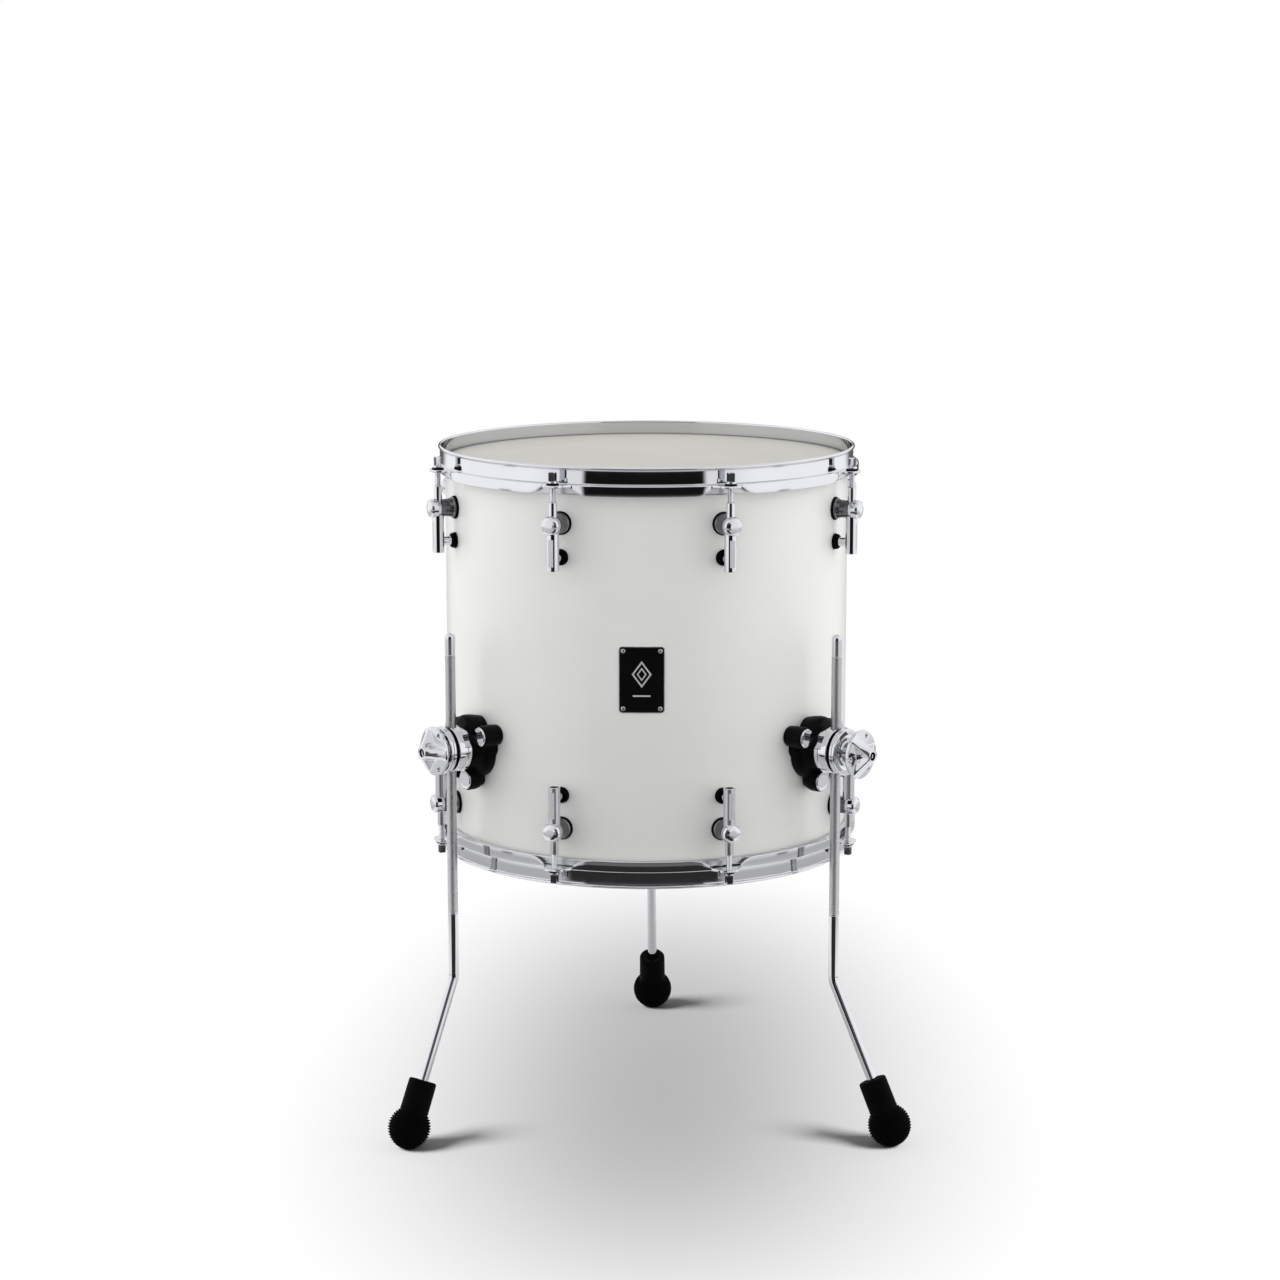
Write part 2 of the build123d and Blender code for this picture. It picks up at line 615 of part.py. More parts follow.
# half of a pair of ridges: (radius from the drum's axis, half width)
RIDGE_HALF = [
    (WING_R0 + 1.5, WING_RIM - 0.5), (WING_R0 + 3.6, WING_RIM - 0.8), (WING_R1 - 0.4, 6.2),
]

with BuildPart() as wing_nut:
    with BuildSketch(section(BRACKET_Z, SIDE)):
        with BuildLine():
            Polyline(
                (WING_BACK, 0), (WING_BACK, 7.6), (WING_R0, 8.6),
                (WING_R0 + 0.2, WING_RIM - 1.0), (WING_R0 + 1.2, WING_RIM),
                (WING_R0 + 3.2, WING_RIM - 0.3), (WING_R0 + 5.0, 13.2),
                (WING_R0 + 11.0, 7.4), (WING_R1, 6.0), (WING_R1, 0), close=True,
            )
        make_face()
    revolve(axis=front_axis(BRACKET_Z))
    # four ridges from the rim to the nose, as an upright pair and a level pair
    for normal in (SIDE, UP):
        with BuildSketch(section(BRACKET_Z, normal).offset(-RIDGE_W / 2)):
            with BuildLine():
                Polyline(*both_sides(RIDGE_HALF), close=True)
            make_face()
        extrude(amount=RIDGE_W)
    with BuildSketch(outward(0, CAP_R1 - 2, BRACKET_Z)):
        Circle(STUD_D / 2 + 0.06)
    extrude(amount=40, mode=Mode.SUBTRACT)

# ---------------------------------------------------------------- legs
BUSH_LEN = 41.6
BEND_R = 24
LEG_END = 10.0             # leg's end above the ball's centre, inside the foot
SOCKET_R = LEG_D / 2 + 0.04
SOCKET_END = LEG_END - 0.3
NECK_TOP = 48.0            # neck's end, along the leg from the ball's centre

# unit direction of the leg below its bend, outward and (negative) upward
lean_length = math.hypot(SPREAD, BALL_Z - LEG_BEND_Z)
lean_out = SPREAD / lean_length
lean_up = (BALL_Z - LEG_BEND_Z) / lean_length

with BuildPart() as leg_bush:
    with BuildSketch(Plane.XY.offset(BRACKET_Z - BUSH_LEN / 2)):
        with Locations(LEG_XY):
            Circle(BUSH_D / 2)
            Circle(LEG_D / 2 + 0.06, mode=Mode.SUBTRACT)
    extrude(amount=BUSH_LEN)

# the leg and its foot are drawn about the leg's own axis, and stand out to the front
with BuildPart() as leg_rod:
    with BuildLine() as leg_path:
        FilletPolyline(
            (0, 0, LEG_TOP), (0, 0, LEG_BEND_Z),
            (0, -(SPREAD - lean_out * LEG_END), BALL_Z - lean_up * LEG_END), radius=BEND_R,
        )
    with BuildSketch(Plane(origin=(0, 0, LEG_TOP), x_dir=(1, 0, 0), z_dir=(0, 0, -1))):
        Circle(LEG_D / 2)
    sweep(path=leg_path.wires()[0])
    fillet(leg_rod.faces().sort_by(Axis.Z)[-1].edges(), 2.2)

with BuildPart() as foot:
    # ball and neck turned about the leg's lower part, with the leg's socket
    ball_centre = (0, -SPREAD, BALL_Z)
    with BuildSketch(Plane(origin=ball_centre, x_dir=(1, 0, 0), z_dir=(0, lean_up, lean_out))):
        with BuildLine():
            ball = ThreePointArc(
                (0, -BALL_R), (BALL_R * math.cos(0.15), BALL_R * math.sin(-0.15)),
                (NECK_R, math.sqrt(BALL_R ** 2 - NECK_R ** 2)),
            )
            Polyline(
                ball @ 1, (NECK_R - 0.5, NECK_TOP - 1.2), (NECK_R - 1.6, NECK_TOP),
                (SOCKET_R, NECK_TOP), (SOCKET_R, SOCKET_END), (0, SOCKET_END), ball @ 0,
            )
        make_face()
    revolve(axis=Axis(ball_centre, (0, lean_out, -lean_up)))
    # the flat it stands on
    with BuildSketch(Plane.XY.offset(-30)):
        with Locations((0, -SPREAD)):
            Rectangle(60, 60)
    extrude(amount=30, mode=Mode.SUBTRACT)


def placement(angle, r=0.0, turn=0.0):
    """Location r out from the drum's axis at an angle from the front, turned to face out."""
    origin = outward(angle, r).origin
    return Location((origin.X, origin.Y, 0), (0, 0, angle + turn))


for side, (angle, nut_out, leg_turn) in LEGS.items():
    on_leg_axis = placement(angle, LEG_R, leg_turn)
    backed_off = placement(angle, nut_out)
    for name, piece, place in (
        ("leg_bush", leg_bush, placement(angle)),
        ("leg", leg_rod, on_leg_axis),
        ("foot", foot, on_leg_axis),
        ("wing_washer", wing_washer, backed_off),
        ("wing_nut", wing_nut, backed_off),
    ):
        with BuildPart() as placed:
            with Locations(place):
                add(piece.part)
        save(f"{name}_{side}", placed)
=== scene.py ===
"""A floor drum on three legs, with a white lacquered shell and chrome hoops, rods and lugs.

The drum's axis is Z and the floor is z = 0. The batter head is on top, and the badge is at the
front, which faces -Y. Angles round the drum are in degrees from the front towards +X.
Lengths are millimetres unless a comment says otherwise; the scene itself is in metres.
"""
import json
from math import (acos, asin, atan2, cos, degrees, dist as distance, hypot, pi, radians, sin,
                  sqrt, tan)
import bmesh
import bpy
import numpy as np
from mathutils import Matrix, Vector


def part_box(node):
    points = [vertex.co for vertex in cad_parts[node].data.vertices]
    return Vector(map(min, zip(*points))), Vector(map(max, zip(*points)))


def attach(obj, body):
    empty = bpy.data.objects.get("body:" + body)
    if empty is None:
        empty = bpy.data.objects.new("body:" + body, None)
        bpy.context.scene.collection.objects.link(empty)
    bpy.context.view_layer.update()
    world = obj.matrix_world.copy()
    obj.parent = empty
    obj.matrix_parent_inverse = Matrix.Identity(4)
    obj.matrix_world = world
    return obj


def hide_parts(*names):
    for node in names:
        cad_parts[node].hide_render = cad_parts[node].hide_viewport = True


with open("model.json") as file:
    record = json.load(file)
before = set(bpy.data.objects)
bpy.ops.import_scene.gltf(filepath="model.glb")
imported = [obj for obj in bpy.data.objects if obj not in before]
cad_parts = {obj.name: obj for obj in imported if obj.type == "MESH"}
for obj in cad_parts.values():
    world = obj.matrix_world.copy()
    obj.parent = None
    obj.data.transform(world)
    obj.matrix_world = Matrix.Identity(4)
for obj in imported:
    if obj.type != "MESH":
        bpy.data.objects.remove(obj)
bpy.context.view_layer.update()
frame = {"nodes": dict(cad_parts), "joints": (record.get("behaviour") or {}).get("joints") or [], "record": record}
JOINTS = {j["name"]: j for j in frame["joints"]}
MM = 0.001


# ---------------------------------------------------------------- places taken from the frame
def box_mm(node):
    lo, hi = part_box(node)
    return lo / MM, hi / MM


def angle_of(point):
    return degrees(atan2(point[0], -point[1]))


shell_lo, shell_hi = box_mm("shell")
SHELL_R = round(shell_hi.x, 1)
BOTTOM, TOP = shell_lo.z, shell_hi.z           # the shell's edges
MID = (BOTTOM + TOP) / 2
HOOP_TOP = box_mm("batter_hoop")[1].z

ROD_POINTS = [JOINTS[f"batter_rod_{i}_turn"]["pos_m"] for i in range(1, 9)]
ROD_R = hypot(*ROD_POINTS[0][:2]) / MM         # from the drum's axis to a rod's
ROD_ANGLES = [angle_of(p) for p in ROD_POINTS]
ROD_PITCH = 360 / len(ROD_ANGLES)

SIDES = ("front_left", "front_right", "rear")
LEG_POINTS = {s: JOINTS[f"leg_turn_{s}"]["pos_m"] for s in SIDES}
LEG_ANGLE = {s: angle_of(LEG_POINTS[s]) for s in SIDES}
LEG_R = hypot(*LEG_POINTS["rear"][:2]) / MM    # from the drum's axis to a leg's
BRACKET_Z = LEG_POINTS["rear"][2] / MM
LEG_TOP = box_mm("leg_rear")[1].z


# ---------------------------------------------------------------- mesh helpers
class Piece:
    """Vertices, faces and the material slot of each face."""

    def __init__(self):
        self.vertices, self.faces, self.slots = [], [], []

    def add(self, other, matrix=None, slot=None):
        base = len(self.vertices)
        if matrix is None:
            self.vertices += other.vertices
        else:
            self.vertices += [tuple(matrix @ Vector(p)) for p in other.vertices]
        self.faces += [tuple(i + base for i in face) for face in other.faces]
        self.slots += other.slots if slot is None else [slot] * len(other.faces)
        return self

    def ring(self, points):
        """Adds points and returns their indices."""
        base = len(self.vertices)
        self.vertices += [tuple(p) for p in points]
        return list(range(base, len(self.vertices)))

    def face(self, corners, slot=0):
        self.faces.append(tuple(corners))
        self.slots.append(slot)

    def join(self, rings, slots=None):
        """Faces between neighbouring rings; a pole is a ring that repeats one point."""
        for i, (near, far) in enumerate(zip(rings, rings[1:])):
            for k in range(len(near)):
                after = (k + 1) % len(near)
                corners = []
                for corner in (near[k], near[after], far[after], far[k]):
                    if corner not in corners:
                        corners.append(corner)
                if len(corners) > 2:
                    self.face(corners, slots[i] if slots else 0)
        return self

    def paint(self, slot, where):
        """Gives a slot to the faces whose corners all pass the test."""
        for i, face in enumerate(self.faces):
            if all(where(*self.vertices[q]) for q in face):
                self.slots[i] = slot
        return self


def shifted(base, points):
    """Measures the first column of a table from a base."""
    return [(base + p[0], *p[1:]) for p in points]


def rounded(points, closed=True, steps=5):
    """Rounds the corners of a polyline of (x, y) or (x, y, corner radius)."""
    result, count = [], len(points)
    for i, point in enumerate(points):
        radius = point[2] if len(point) > 2 else 0
        if radius <= 0 or (not closed and i in (0, count - 1)):
            result.append(point[:2])
            continue
        corner = np.array(point[:2], float)
        back = np.array(points[i - 1][:2], float) - corner
        ahead = np.array(points[(i + 1) % count][:2], float) - corner
        back_length, ahead_length = np.linalg.norm(back), np.linalg.norm(ahead)
        back, ahead = back / back_length, ahead / ahead_length
        half = acos(max(-1, min(1, float(back @ ahead)))) / 2
        if half > pi / 2 - 1e-3:
            result.append(point[:2])
            continue
        reach = min(radius / tan(half), back_length * 0.49, ahead_length * 0.49)
        radius = reach * tan(half)
        centre = corner + (back + ahead) / np.linalg.norm(back + ahead) * (radius / sin(half))
        start, end = corner + back * reach - centre, corner + ahead * reach - centre
        first = atan2(start[1], start[0])
        turn = (atan2(end[1], end[0]) - first + pi) % (2 * pi) - pi
        for k in range(steps + 1):
            t = first + turn * k / steps
            result.append((centre[0] + radius * cos(t), centre[1] + radius * sin(t)))
    return result


def turns(count):
    return [2 * pi * k / count for k in range(count)]


def circle(centre, x_axis, y_axis, radii):
    """Points round a centre, one for each radius."""
    return [centre + x_axis * (r * cos(t)) + y_axis * (r * sin(t))
            for r, t in zip(radii, turns(len(radii)))]


def revolve(profile, segments, origin, axis, zero, closed, slots, reshape):
    """Turns a profile of (along, radius) about an axis, with angle 0 towards zero.

    slots has a material slot for each strip. reshape(along, radius, angle) gives a new radius.
    """
    origin, axis, zero = Vector(origin), Vector(axis), Vector(zero)
    across = axis.cross(zero)
    piece, rings = Piece(), []
    for along, radius in profile:
        centre = origin + axis * along
        if radius < 1e-6:
            rings.append(piece.ring([centre]) * segments)
            continue
        radii = [radius] * segments
        if reshape:
            radii = [reshape(along, radius, t) for t in turns(segments)]
        rings.append(piece.ring(circle(centre, zero, across, radii)))
    return piece.join(rings + rings[:1] if closed else rings, slots)


def upright(profile, segments, out=0, closed=False, slots=None, reshape=None):
    """Revolves (height, radius) about a vertical line this far in front of the drum's axis."""
    return revolve(profile, segments, (0, -out, 0), (0, 0, 1), (1, 0, 0), closed, slots, reshape)


def radial(profile, segments, z, x=0.0, closed=False, reshape=None):
    """Revolves (distance forwards of the drum's axis, radius) about a line along -Y."""
    return revolve(profile, segments, (x, 0, z), (0, -1, 0), (0, 0, 1), closed, None, reshape)


def turned(angle, flip=False):
    """Carries a front piece to an angle round the drum; flip turns it over to the lower end."""
    matrix = Matrix.Rotation(radians(angle), 4, "Z")
    if flip:
        matrix = (matrix @ Matrix.Translation((0, 0, MID)) @ Matrix.Rotation(pi, 4, "Y")
                  @ Matrix.Translation((0, 0, -MID)))
    return matrix


def copied(piece, places):
    result = Piece()
    for place in places:
        result.add(piece, place)
    return result


def hug(piece, reach):
    """Bends a front piece onto the shell: fully at the shell, not at all beyond reach."""
    radius = SHELL_R + 0.03
    bent = []
    for x, y, z in piece.vertices:
        drop = radius - sqrt(max(0.0, radius * radius - x * x))
        share = min(1.0, max(0.0, (reach + y) / max(1e-6, reach - radius)))
        bent.append((x, -(-y - drop * share), z))
    piece.vertices = bent
    return piece


def stepped(start, stop, step):
    heights = []
    while start < stop:
        heights.append(start)
        start += step
    return heights


def thread_groove(along, turn, pitch):
    """How deep a screw thread is cut here, from 0 at its crest to 1 at its root."""
    return 0.5 + 0.5 * cos(2 * pi * (along / pitch - turn / (2 * pi)))


def mesh_object(name, piece, materials, sharp=32.0):
    mesh = bpy.data.meshes.new(name)
    mesh.from_pydata([(x * MM, y * MM, z * MM) for x, y, z in piece.vertices], [], piece.faces)
    mesh.polygons.foreach_set("material_index", piece.slots)
    for material in materials:
        mesh.materials.append(material)
    bm = bmesh.new()
    bm.from_mesh(mesh)
    bmesh.ops.recalc_face_normals(bm, faces=bm.faces)
    bm.to_mesh(mesh)
    bm.free()
    mesh.polygons.foreach_set("use_smooth", [True] * len(mesh.polygons))
    mesh.set_sharp_from_angle(angle=radians(sharp))
    obj = bpy.data.objects.new(name, mesh)
    bpy.context.scene.collection.objects.link(obj)
    return obj


def make(name, piece, materials, body, replaced, slot, sharp=32.0, even=True):
    """An object that rides on a body and stands in for a CAD node; even evens its shading."""
    obj = mesh_object(name, piece, materials, sharp)
    if even:
        normals = obj.modifiers.new("even_normals", "WEIGHTED_NORMAL")
        normals.mode, normals.weight, normals.keep_sharp = "FACE_AREA", 60, True
    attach(obj, body)
    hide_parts(replaced)
    return obj


def keep_shape(names, material, sharp=None):
    """Gives CAD nodes that stay as they are a material and smooth shading."""
    for name in names:
        mesh = frame["nodes"][name].data
        mesh.materials.clear()
        mesh.materials.append(material)
        mesh.polygons.foreach_set("use_smooth", [True] * len(mesh.polygons))
        if sharp:
            mesh.set_sharp_from_angle(angle=radians(sharp))


def discard(obj):
    mesh = obj.data
    bpy.data.objects.remove(obj)
    bpy.data.meshes.remove(mesh)


def baked(obj):
    """Turns an object, with its modifiers applied, back into a piece and removes it."""
    graph = bpy.context.evaluated_depsgraph_get()
    mesh = bpy.data.meshes.new_from_object(obj.evaluated_get(graph))
    piece = Piece()
    piece.vertices = [tuple(v.co / MM) for v in mesh.vertices]
    for polygon in mesh.polygons:
        piece.face(polygon.vertices)
    bpy.data.meshes.remove(mesh)
    discard(obj)
    return piece


def cut(base, cutters):
    """The base minus the cutters, as exact booleans."""
    obj = mesh_object("tmp_base", base, [])
    tools = []
    for cutter in cutters:
        tools.append(mesh_object("tmp_cut", cutter, []))
        boolean = obj.modifiers.new("cut", "BOOLEAN")
        boolean.operation, boolean.solver = "DIFFERENCE", "EXACT"
        boolean.object = tools[-1]
    piece = baked(obj)
    for tool in tools:
        discard(tool)
    return piece


# ---------------------------------------------------------------- shader helpers
class Shader:
    """A node tree. Any input takes either a value or another node's output."""

    def __init__(self, owner):
        owner.use_nodes = True
        self.tree = owner.node_tree

    def fill(self, node, inputs):
        for key, value in inputs.items():
            if isinstance(value, bpy.types.NodeSocket):
                self.tree.links.new(value, node.inputs[key])
            else:
                node.inputs[key].default_value = value

    def node(self, kind, inputs, **settings):
        node = self.tree.nodes.new("ShaderNode" + kind)
        for key, value in settings.items():
            setattr(node, key, value)
        self.fill(node, inputs)
        return node

    def surface(self, inputs):
        self.fill(self.tree.nodes["Principled BSDF"], inputs)

    def coords(self, kind="Object"):
        return self.node("TexCoord", {}).outputs[kind]

    def split(self, vector):
        return self.node("SeparateXYZ", {"Vector": vector}).outputs

    def length(self, vector):
        return self.node("VectorMath", {0: vector}, operation="LENGTH").outputs["Value"]

    def math(self, operation, *values):
        return self.node("Math", dict(enumerate(values)), operation=operation).outputs[0]

    def times(self, first, second):
        return self.math("MULTIPLY", first, second)

    def mix_shader(self, share, first, second):
        return self.node("MixShader", {0: share, 1: first, 2: second}).outputs[0]

    def glow(self, kind, color, strength):
        return self.node(kind, {"Color": color, "Strength": strength}).outputs[0]

    def noise(self, scale, detail, rough=0.55, stretch=None):
        vector = self.coords()
        if stretch:
            mapping = self.node("Mapping", {"Vector": vector, "Scale": stretch})
            vector = mapping.outputs["Vector"]
        return self.node("TexNoise", {"Scale": scale, "Detail": detail, "Roughness": rough,
                                      "Vector": vector}).outputs["Fac"]

    def span(self, source, to, over=(0.3, 0.7), **settings):
        """Maps the source range over to the range to, in a straight line."""
        inputs = {"Value": source, "From Min": over[0], "From Max": over[1],
                  "To Min": to[0], "To Max": to[1]}
        return self.node("MapRange", inputs, **settings).outputs["Result"]

    def ease(self, source, over, to):
        """As span, with soft ends."""
        return self.span(source, to, over, interpolation_type="SMOOTHSTEP")

    def tint(self, source, dark, light, over=(0.3, 0.7)):
        node = self.node("ValToRGB", {"Fac": source})
        low, high = node.color_ramp.elements
        low.position, high.position = over
        low.color, high.color = (*dark, 1), (*light, 1)
        return node.outputs["Color"]

    def bump(self, source, strength, distance):
        """distance is in metres."""
        return self.node("Bump", {"Strength": strength, "Distance": distance,
                                  "Height": source}).outputs["Normal"]


def new_material(name):
    material = bpy.data.materials.new(name)
    return material, Shader(material)


# ---------------------------------------------------------------- materials
def lacquer():
    """White lacquer, faintly clouded, under a thin clear coat."""
    material, shader = new_material("white_lacquer")
    cloud = shader.noise(scale=9, detail=3)
    shader.surface({
        "Base Color": shader.tint(cloud, dark=(0.835, 0.831, 0.806), light=(0.870, 0.866, 0.842)),
        "Roughness": shader.span(shader.noise(scale=140, detail=3), to=(0.36, 0.44)),
        "Coat Weight": 0.25,
        "Coat Roughness": 0.16,
        "Normal": shader.bump(shader.noise(scale=420, detail=2), strength=0.05, distance=0.0004),
    })
    return material


def chrome(name, base, rough, scratch):
    """Plated metal: a base colour, a roughness range and the strength of its fine scratches."""
    material, shader = new_material(name)
    haze, tone = shader.noise(scale=60, detail=5), shader.noise(scale=25, detail=2)
    shader.surface({
        "Metallic": 1.0,
        "Roughness": shader.span(haze, to=rough),
        "Base Color": shader.tint(tone, dark=tuple(c * 0.975 for c in base), light=base),
        "Normal": shader.bump(shader.noise(scale=900, detail=2), scratch, distance=0.0001),
    })
    return material


def brushed(name, base, rough, stretch, scale):
    """Bare metal with grain; stretch scales the grain's coordinates along each axis."""
    material, shader = new_material(name)
    grain = shader.noise(scale, detail=3, stretch=stretch)
    shader.surface({
        "Metallic": 1.0,
        "Base Color": shader.tint(grain, dark=tuple(c * 0.86 for c in base), light=base),
        "Roughness": shader.span(grain, to=(rough * 0.8, rough * 1.25)),
        "Normal": shader.bump(grain, strength=0.25, distance=0.00008),
    })
    return material


def knurled():
    """Satin leg steel with a fine diamond knurl, laid out by the UV map of the rod."""
    material, shader = new_material("knurled_steel")
    uv = shader.split(shader.node("UVMap", {}, uv_map="rod").outputs["UV"])
    waves = []
    for sign in (1, -1):
        slant = shader.math("MULTIPLY_ADD", uv["Y"], sign, uv["X"])
        waves.append(shader.math("ABSOLUTE", shader.math("SINE", shader.times(slant, 2 * pi))))
    diamonds = shader.math("MINIMUM", *waves)
    shader.surface({
        "Metallic": 1.0,
        # the grooves between the diamonds are darker: painted shade
        "Base Color": shader.tint(diamonds, dark=(0.40, 0.405, 0.415), light=(0.62, 0.625, 0.64),
                                  over=(0.0, 0.6)),
        "Roughness": shader.span(shader.noise(scale=300, detail=3), to=(0.26, 0.40)),
        "Normal": shader.bump(diamonds, strength=0.35, distance=0.0002),
    })
    return material


def dull(name, dark, light, rough, scale, strength, distance, specular):
    """A non-metal with a mottled tone and a finer grain in relief."""
    material, shader = new_material(name)
    tone = shader.noise(scale / 4, detail=3)
    shader.surface({
        "Base Color": shader.tint(tone, dark, light),
        "Roughness": shader.span(tone, to=rough),
        "Normal": shader.bump(shader.noise(scale * 4, detail=3), strength, distance),
        "Specular IOR Level": specular,
    })
    return material


def coated_film():
    """White coated film: a faint mottle, a gritty sprayed coat and a rim beyond the coat."""
    material, shader = new_material("coated_film")
    cloud = shader.noise(scale=14, detail=4)
    spray = shader.noise(scale=1400, detail=4, rough=0.7)
    coat = shader.node("Mix", {
        "Factor": 1.0,
        "A": shader.tint(cloud, dark=(0.548, 0.538, 0.48), light=(0.585, 0.575, 0.518)),
        "B": shader.tint(spray, dark=(0.93, 0.93, 0.93), light=(1, 1, 1)),
    }, data_type="RGBA", blend_type="MULTIPLY").outputs["Result"]
    place = shader.split(shader.coords())
    flat = shader.node("CombineXYZ", {"X": place["X"], "Y": place["Y"]}).outputs["Vector"]
    # the coat stops between these two radii, in metres
    edge = shader.span(shader.length(flat), over=(0.1955, 0.1965), to=(0.0, 1.0))
    colour = shader.node("Mix", {"Factor": edge, "A": coat, "B": (0.46, 0.45, 0.41, 1)},
                         data_type="RGBA").outputs["Result"]
    shader.surface({
        "Base Color": colour,
        "Roughness": shader.span(spray, to=(0.50, 0.66)),
        "Normal": shader.bump(spray, strength=0.30, distance=0.00025),
        "Sheen Weight": 0.05,
    })
    return material


# name, base colour, roughness range, scratch strength
CHROME_LOOKS = [
    ("chrome", (0.715, 0.72, 0.745), (0.03, 0.06), 0.02),
    ("satin_chrome", (0.62, 0.625, 0.64), (0.24, 0.34), 0.05),
    # next: a darker copy of chrome, painted shade on the lugs' feet next to the shell
    ("chrome_painted_shade", (0.17, 0.172, 0.18), (0.20, 0.30), 0.04),
    # next: near-black metal, a painted dark reflection on the rod heads' front faces
    ("painted_dark_reflection", (0.040, 0.040, 0.043), (0.16, 0.24), 0.04),
    ("rod_chrome", (0.74, 0.745, 0.77), (0.07, 0.13), 0.03),
    ("badge_bright", (0.66, 0.67, 0.68), (0.14, 0.22), 0.03),
]
# name, dark and light tone, roughness range, noise scale, bump strength and distance, specular
DULL_LOOKS = [
    ("clear_film", (0.50, 0.505, 0.50), (0.56, 0.565, 0.56), (0.16, 0.24), 40, 0.04, 0.0002, 0.5),
    ("black_rubber", (0.0012, 0.0012, 0.0012), (0.0026, 0.0026, 0.0026), (0.5, 0.68),
     300, 0.35, 0.0003, 0.03),
    ("black_moulding", (0.0012, 0.0012, 0.0014), (0.0028, 0.0028, 0.003), (0.34, 0.44),
     420, 0.18, 0.0002, 0.06),
    ("natural_nylon", (0.58, 0.57, 0.53), (0.66, 0.65, 0.61), (0.38, 0.5),
     300, 0.08, 0.0002, 0.5),
    ("badge_gloss_black", (0.002, 0.002, 0.0022), (0.003, 0.003, 0.0033), (0.12, 0.18),
     300, 0.03, 0.0001, 0.16),
    ("silver_print", (0.42, 0.425, 0.43), (0.56, 0.565, 0.57), (0.30, 0.40),
     700, 0.06, 0.0001, 0.5),
    ("bare_ply", (0.52, 0.38, 0.24), (0.64, 0.49, 0.32), (0.5, 0.6), 60, 0.1, 0.0002, 0.5),
    # next: near-black, painted shade in the vent hole and on the clamp studs' ends
    ("painted_shade_black", (0.006, 0.006, 0.006), (0.012, 0.012, 0.012), (0.6, 0.7),
     200, 0.1, 0.0002, 0.2),
]
LACQUER = lacquer()
CHROME, CHROME_SOFT, CHROME_PAINTED_SHADE, DARK_REFLECTION_PAINT, CHROME_ROD, BADGE_BRIGHT = [
    chrome(*look) for look in CHROME_LOOKS]
KNURL = knurled()
STEEL = brushed("zinc_steel", base=(0.62, 0.62, 0.63), rough=0.3, stretch=(1, 1, 1), scale=900)
ALU = brushed("ring_aluminium", base=(0.70, 0.71, 0.72), rough=0.32, stretch=(1, 1, 40), scale=60)
FILM = coated_film()
FILM_CLEAR, RUBBER, PLASTIC, NYLON, BADGE_BLACK, PRINT, PLY, PAINTED_SHADE = [
    dull(*look) for look in DULL_LOOKS]


# ---------------------------------------------------------------- shell and heads
SHELL_IN = SHELL_R - 6.0


def shell():
    """Lacquered outside, bare ply on the edges and inside."""
    profile = rounded([
        (BOTTOM + 4.7, SHELL_IN), (BOTTOM, SHELL_R - 1.4, 0.5), (BOTTOM + 1.1, SHELL_R - 0.02, 0.7),
        (BOTTOM + 60, SHELL_R), (MID, SHELL_R), (TOP - 60, SHELL_R),
        (TOP - 1.1, SHELL_R - 0.02, 0.7), (TOP, SHELL_R - 1.4, 0.5), (TOP - 4.7, SHELL_IN),
        (MID, SHELL_IN)], steps=3)
    slots = [0 if min(start[1], end[1]) > SHELL_R - 1.3 else 1
             for start, end in zip(profile, profile[1:] + profile[:1])]
    return upright(profile, 360, closed=True, slots=slots)


def head(edge, up):
    """Film over the shell's edge; up is 1 at the top and -1 at the bottom."""
    film_top, skirt_low = 0.37, -12.4
    # outwards from the edge, radius, corner radius
    profile = rounded([
        (0.02, 0.0), (0.02, SHELL_R - 1.9), (0.02, SHELL_R - 0.7, 1.0), (-1.6, SHELL_R + 0.40, 1.0),
        (skirt_low, SHELL_R + 0.42), (skirt_low, SHELL_R + 0.77), (-1.3, SHELL_R + 0.77, 1.2),
        (film_top, SHELL_R - 0.55, 1.2), (film_top, SHELL_R - 6.0), (film_top, SHELL_R - 60.0),
        (film_top, 0.0)], closed=False, steps=4)
    return upright([(edge + up * along, radius) for along, radius in profile], 256)


make("shell_lacquered", shell(), [LACQUER, PLY], "root", "shell", "shell_lacquer", sharp=50)
make("batter_head_film", head(TOP, 1), [FILM], "root", "batter_head", "head_film", sharp=60)
make("resonant_head_film", head(BOTTOM, -1), [FILM_CLEAR], "root", "resonant_head",
     "head_film_clear", sharp=60)
keep_shape(("batter_flesh_ring", "resonant_flesh_ring"), ALU)


# ---------------------------------------------------------------- hoops
HOOP_OUT = 213.5       # outer radius between the ears
EAR_ARC_R = 220.0      # radius at which distances along an ear are measured
EAR_HALF = 37.5        # half the length of hoop that an ear changes
EAR = TOP - 3.0        # height of the ears' upper face


def ear_reach(off):
    """The flange's outer radius at a distance along the hoop from the ear's middle."""
    if off >= 17:
        return HOOP_OUT
    if off >= 10.5:
        k = (17 - off) / 6.5
        return HOOP_OUT + 6.6 * k * k * (3 - 2 * k) * 0.5 + 6.6 * 0.5 * k
    return 220.1 + 7.15 * sqrt(max(0.0, 1 - (max(0.0, off - 3.6) / 6.95) ** 2))


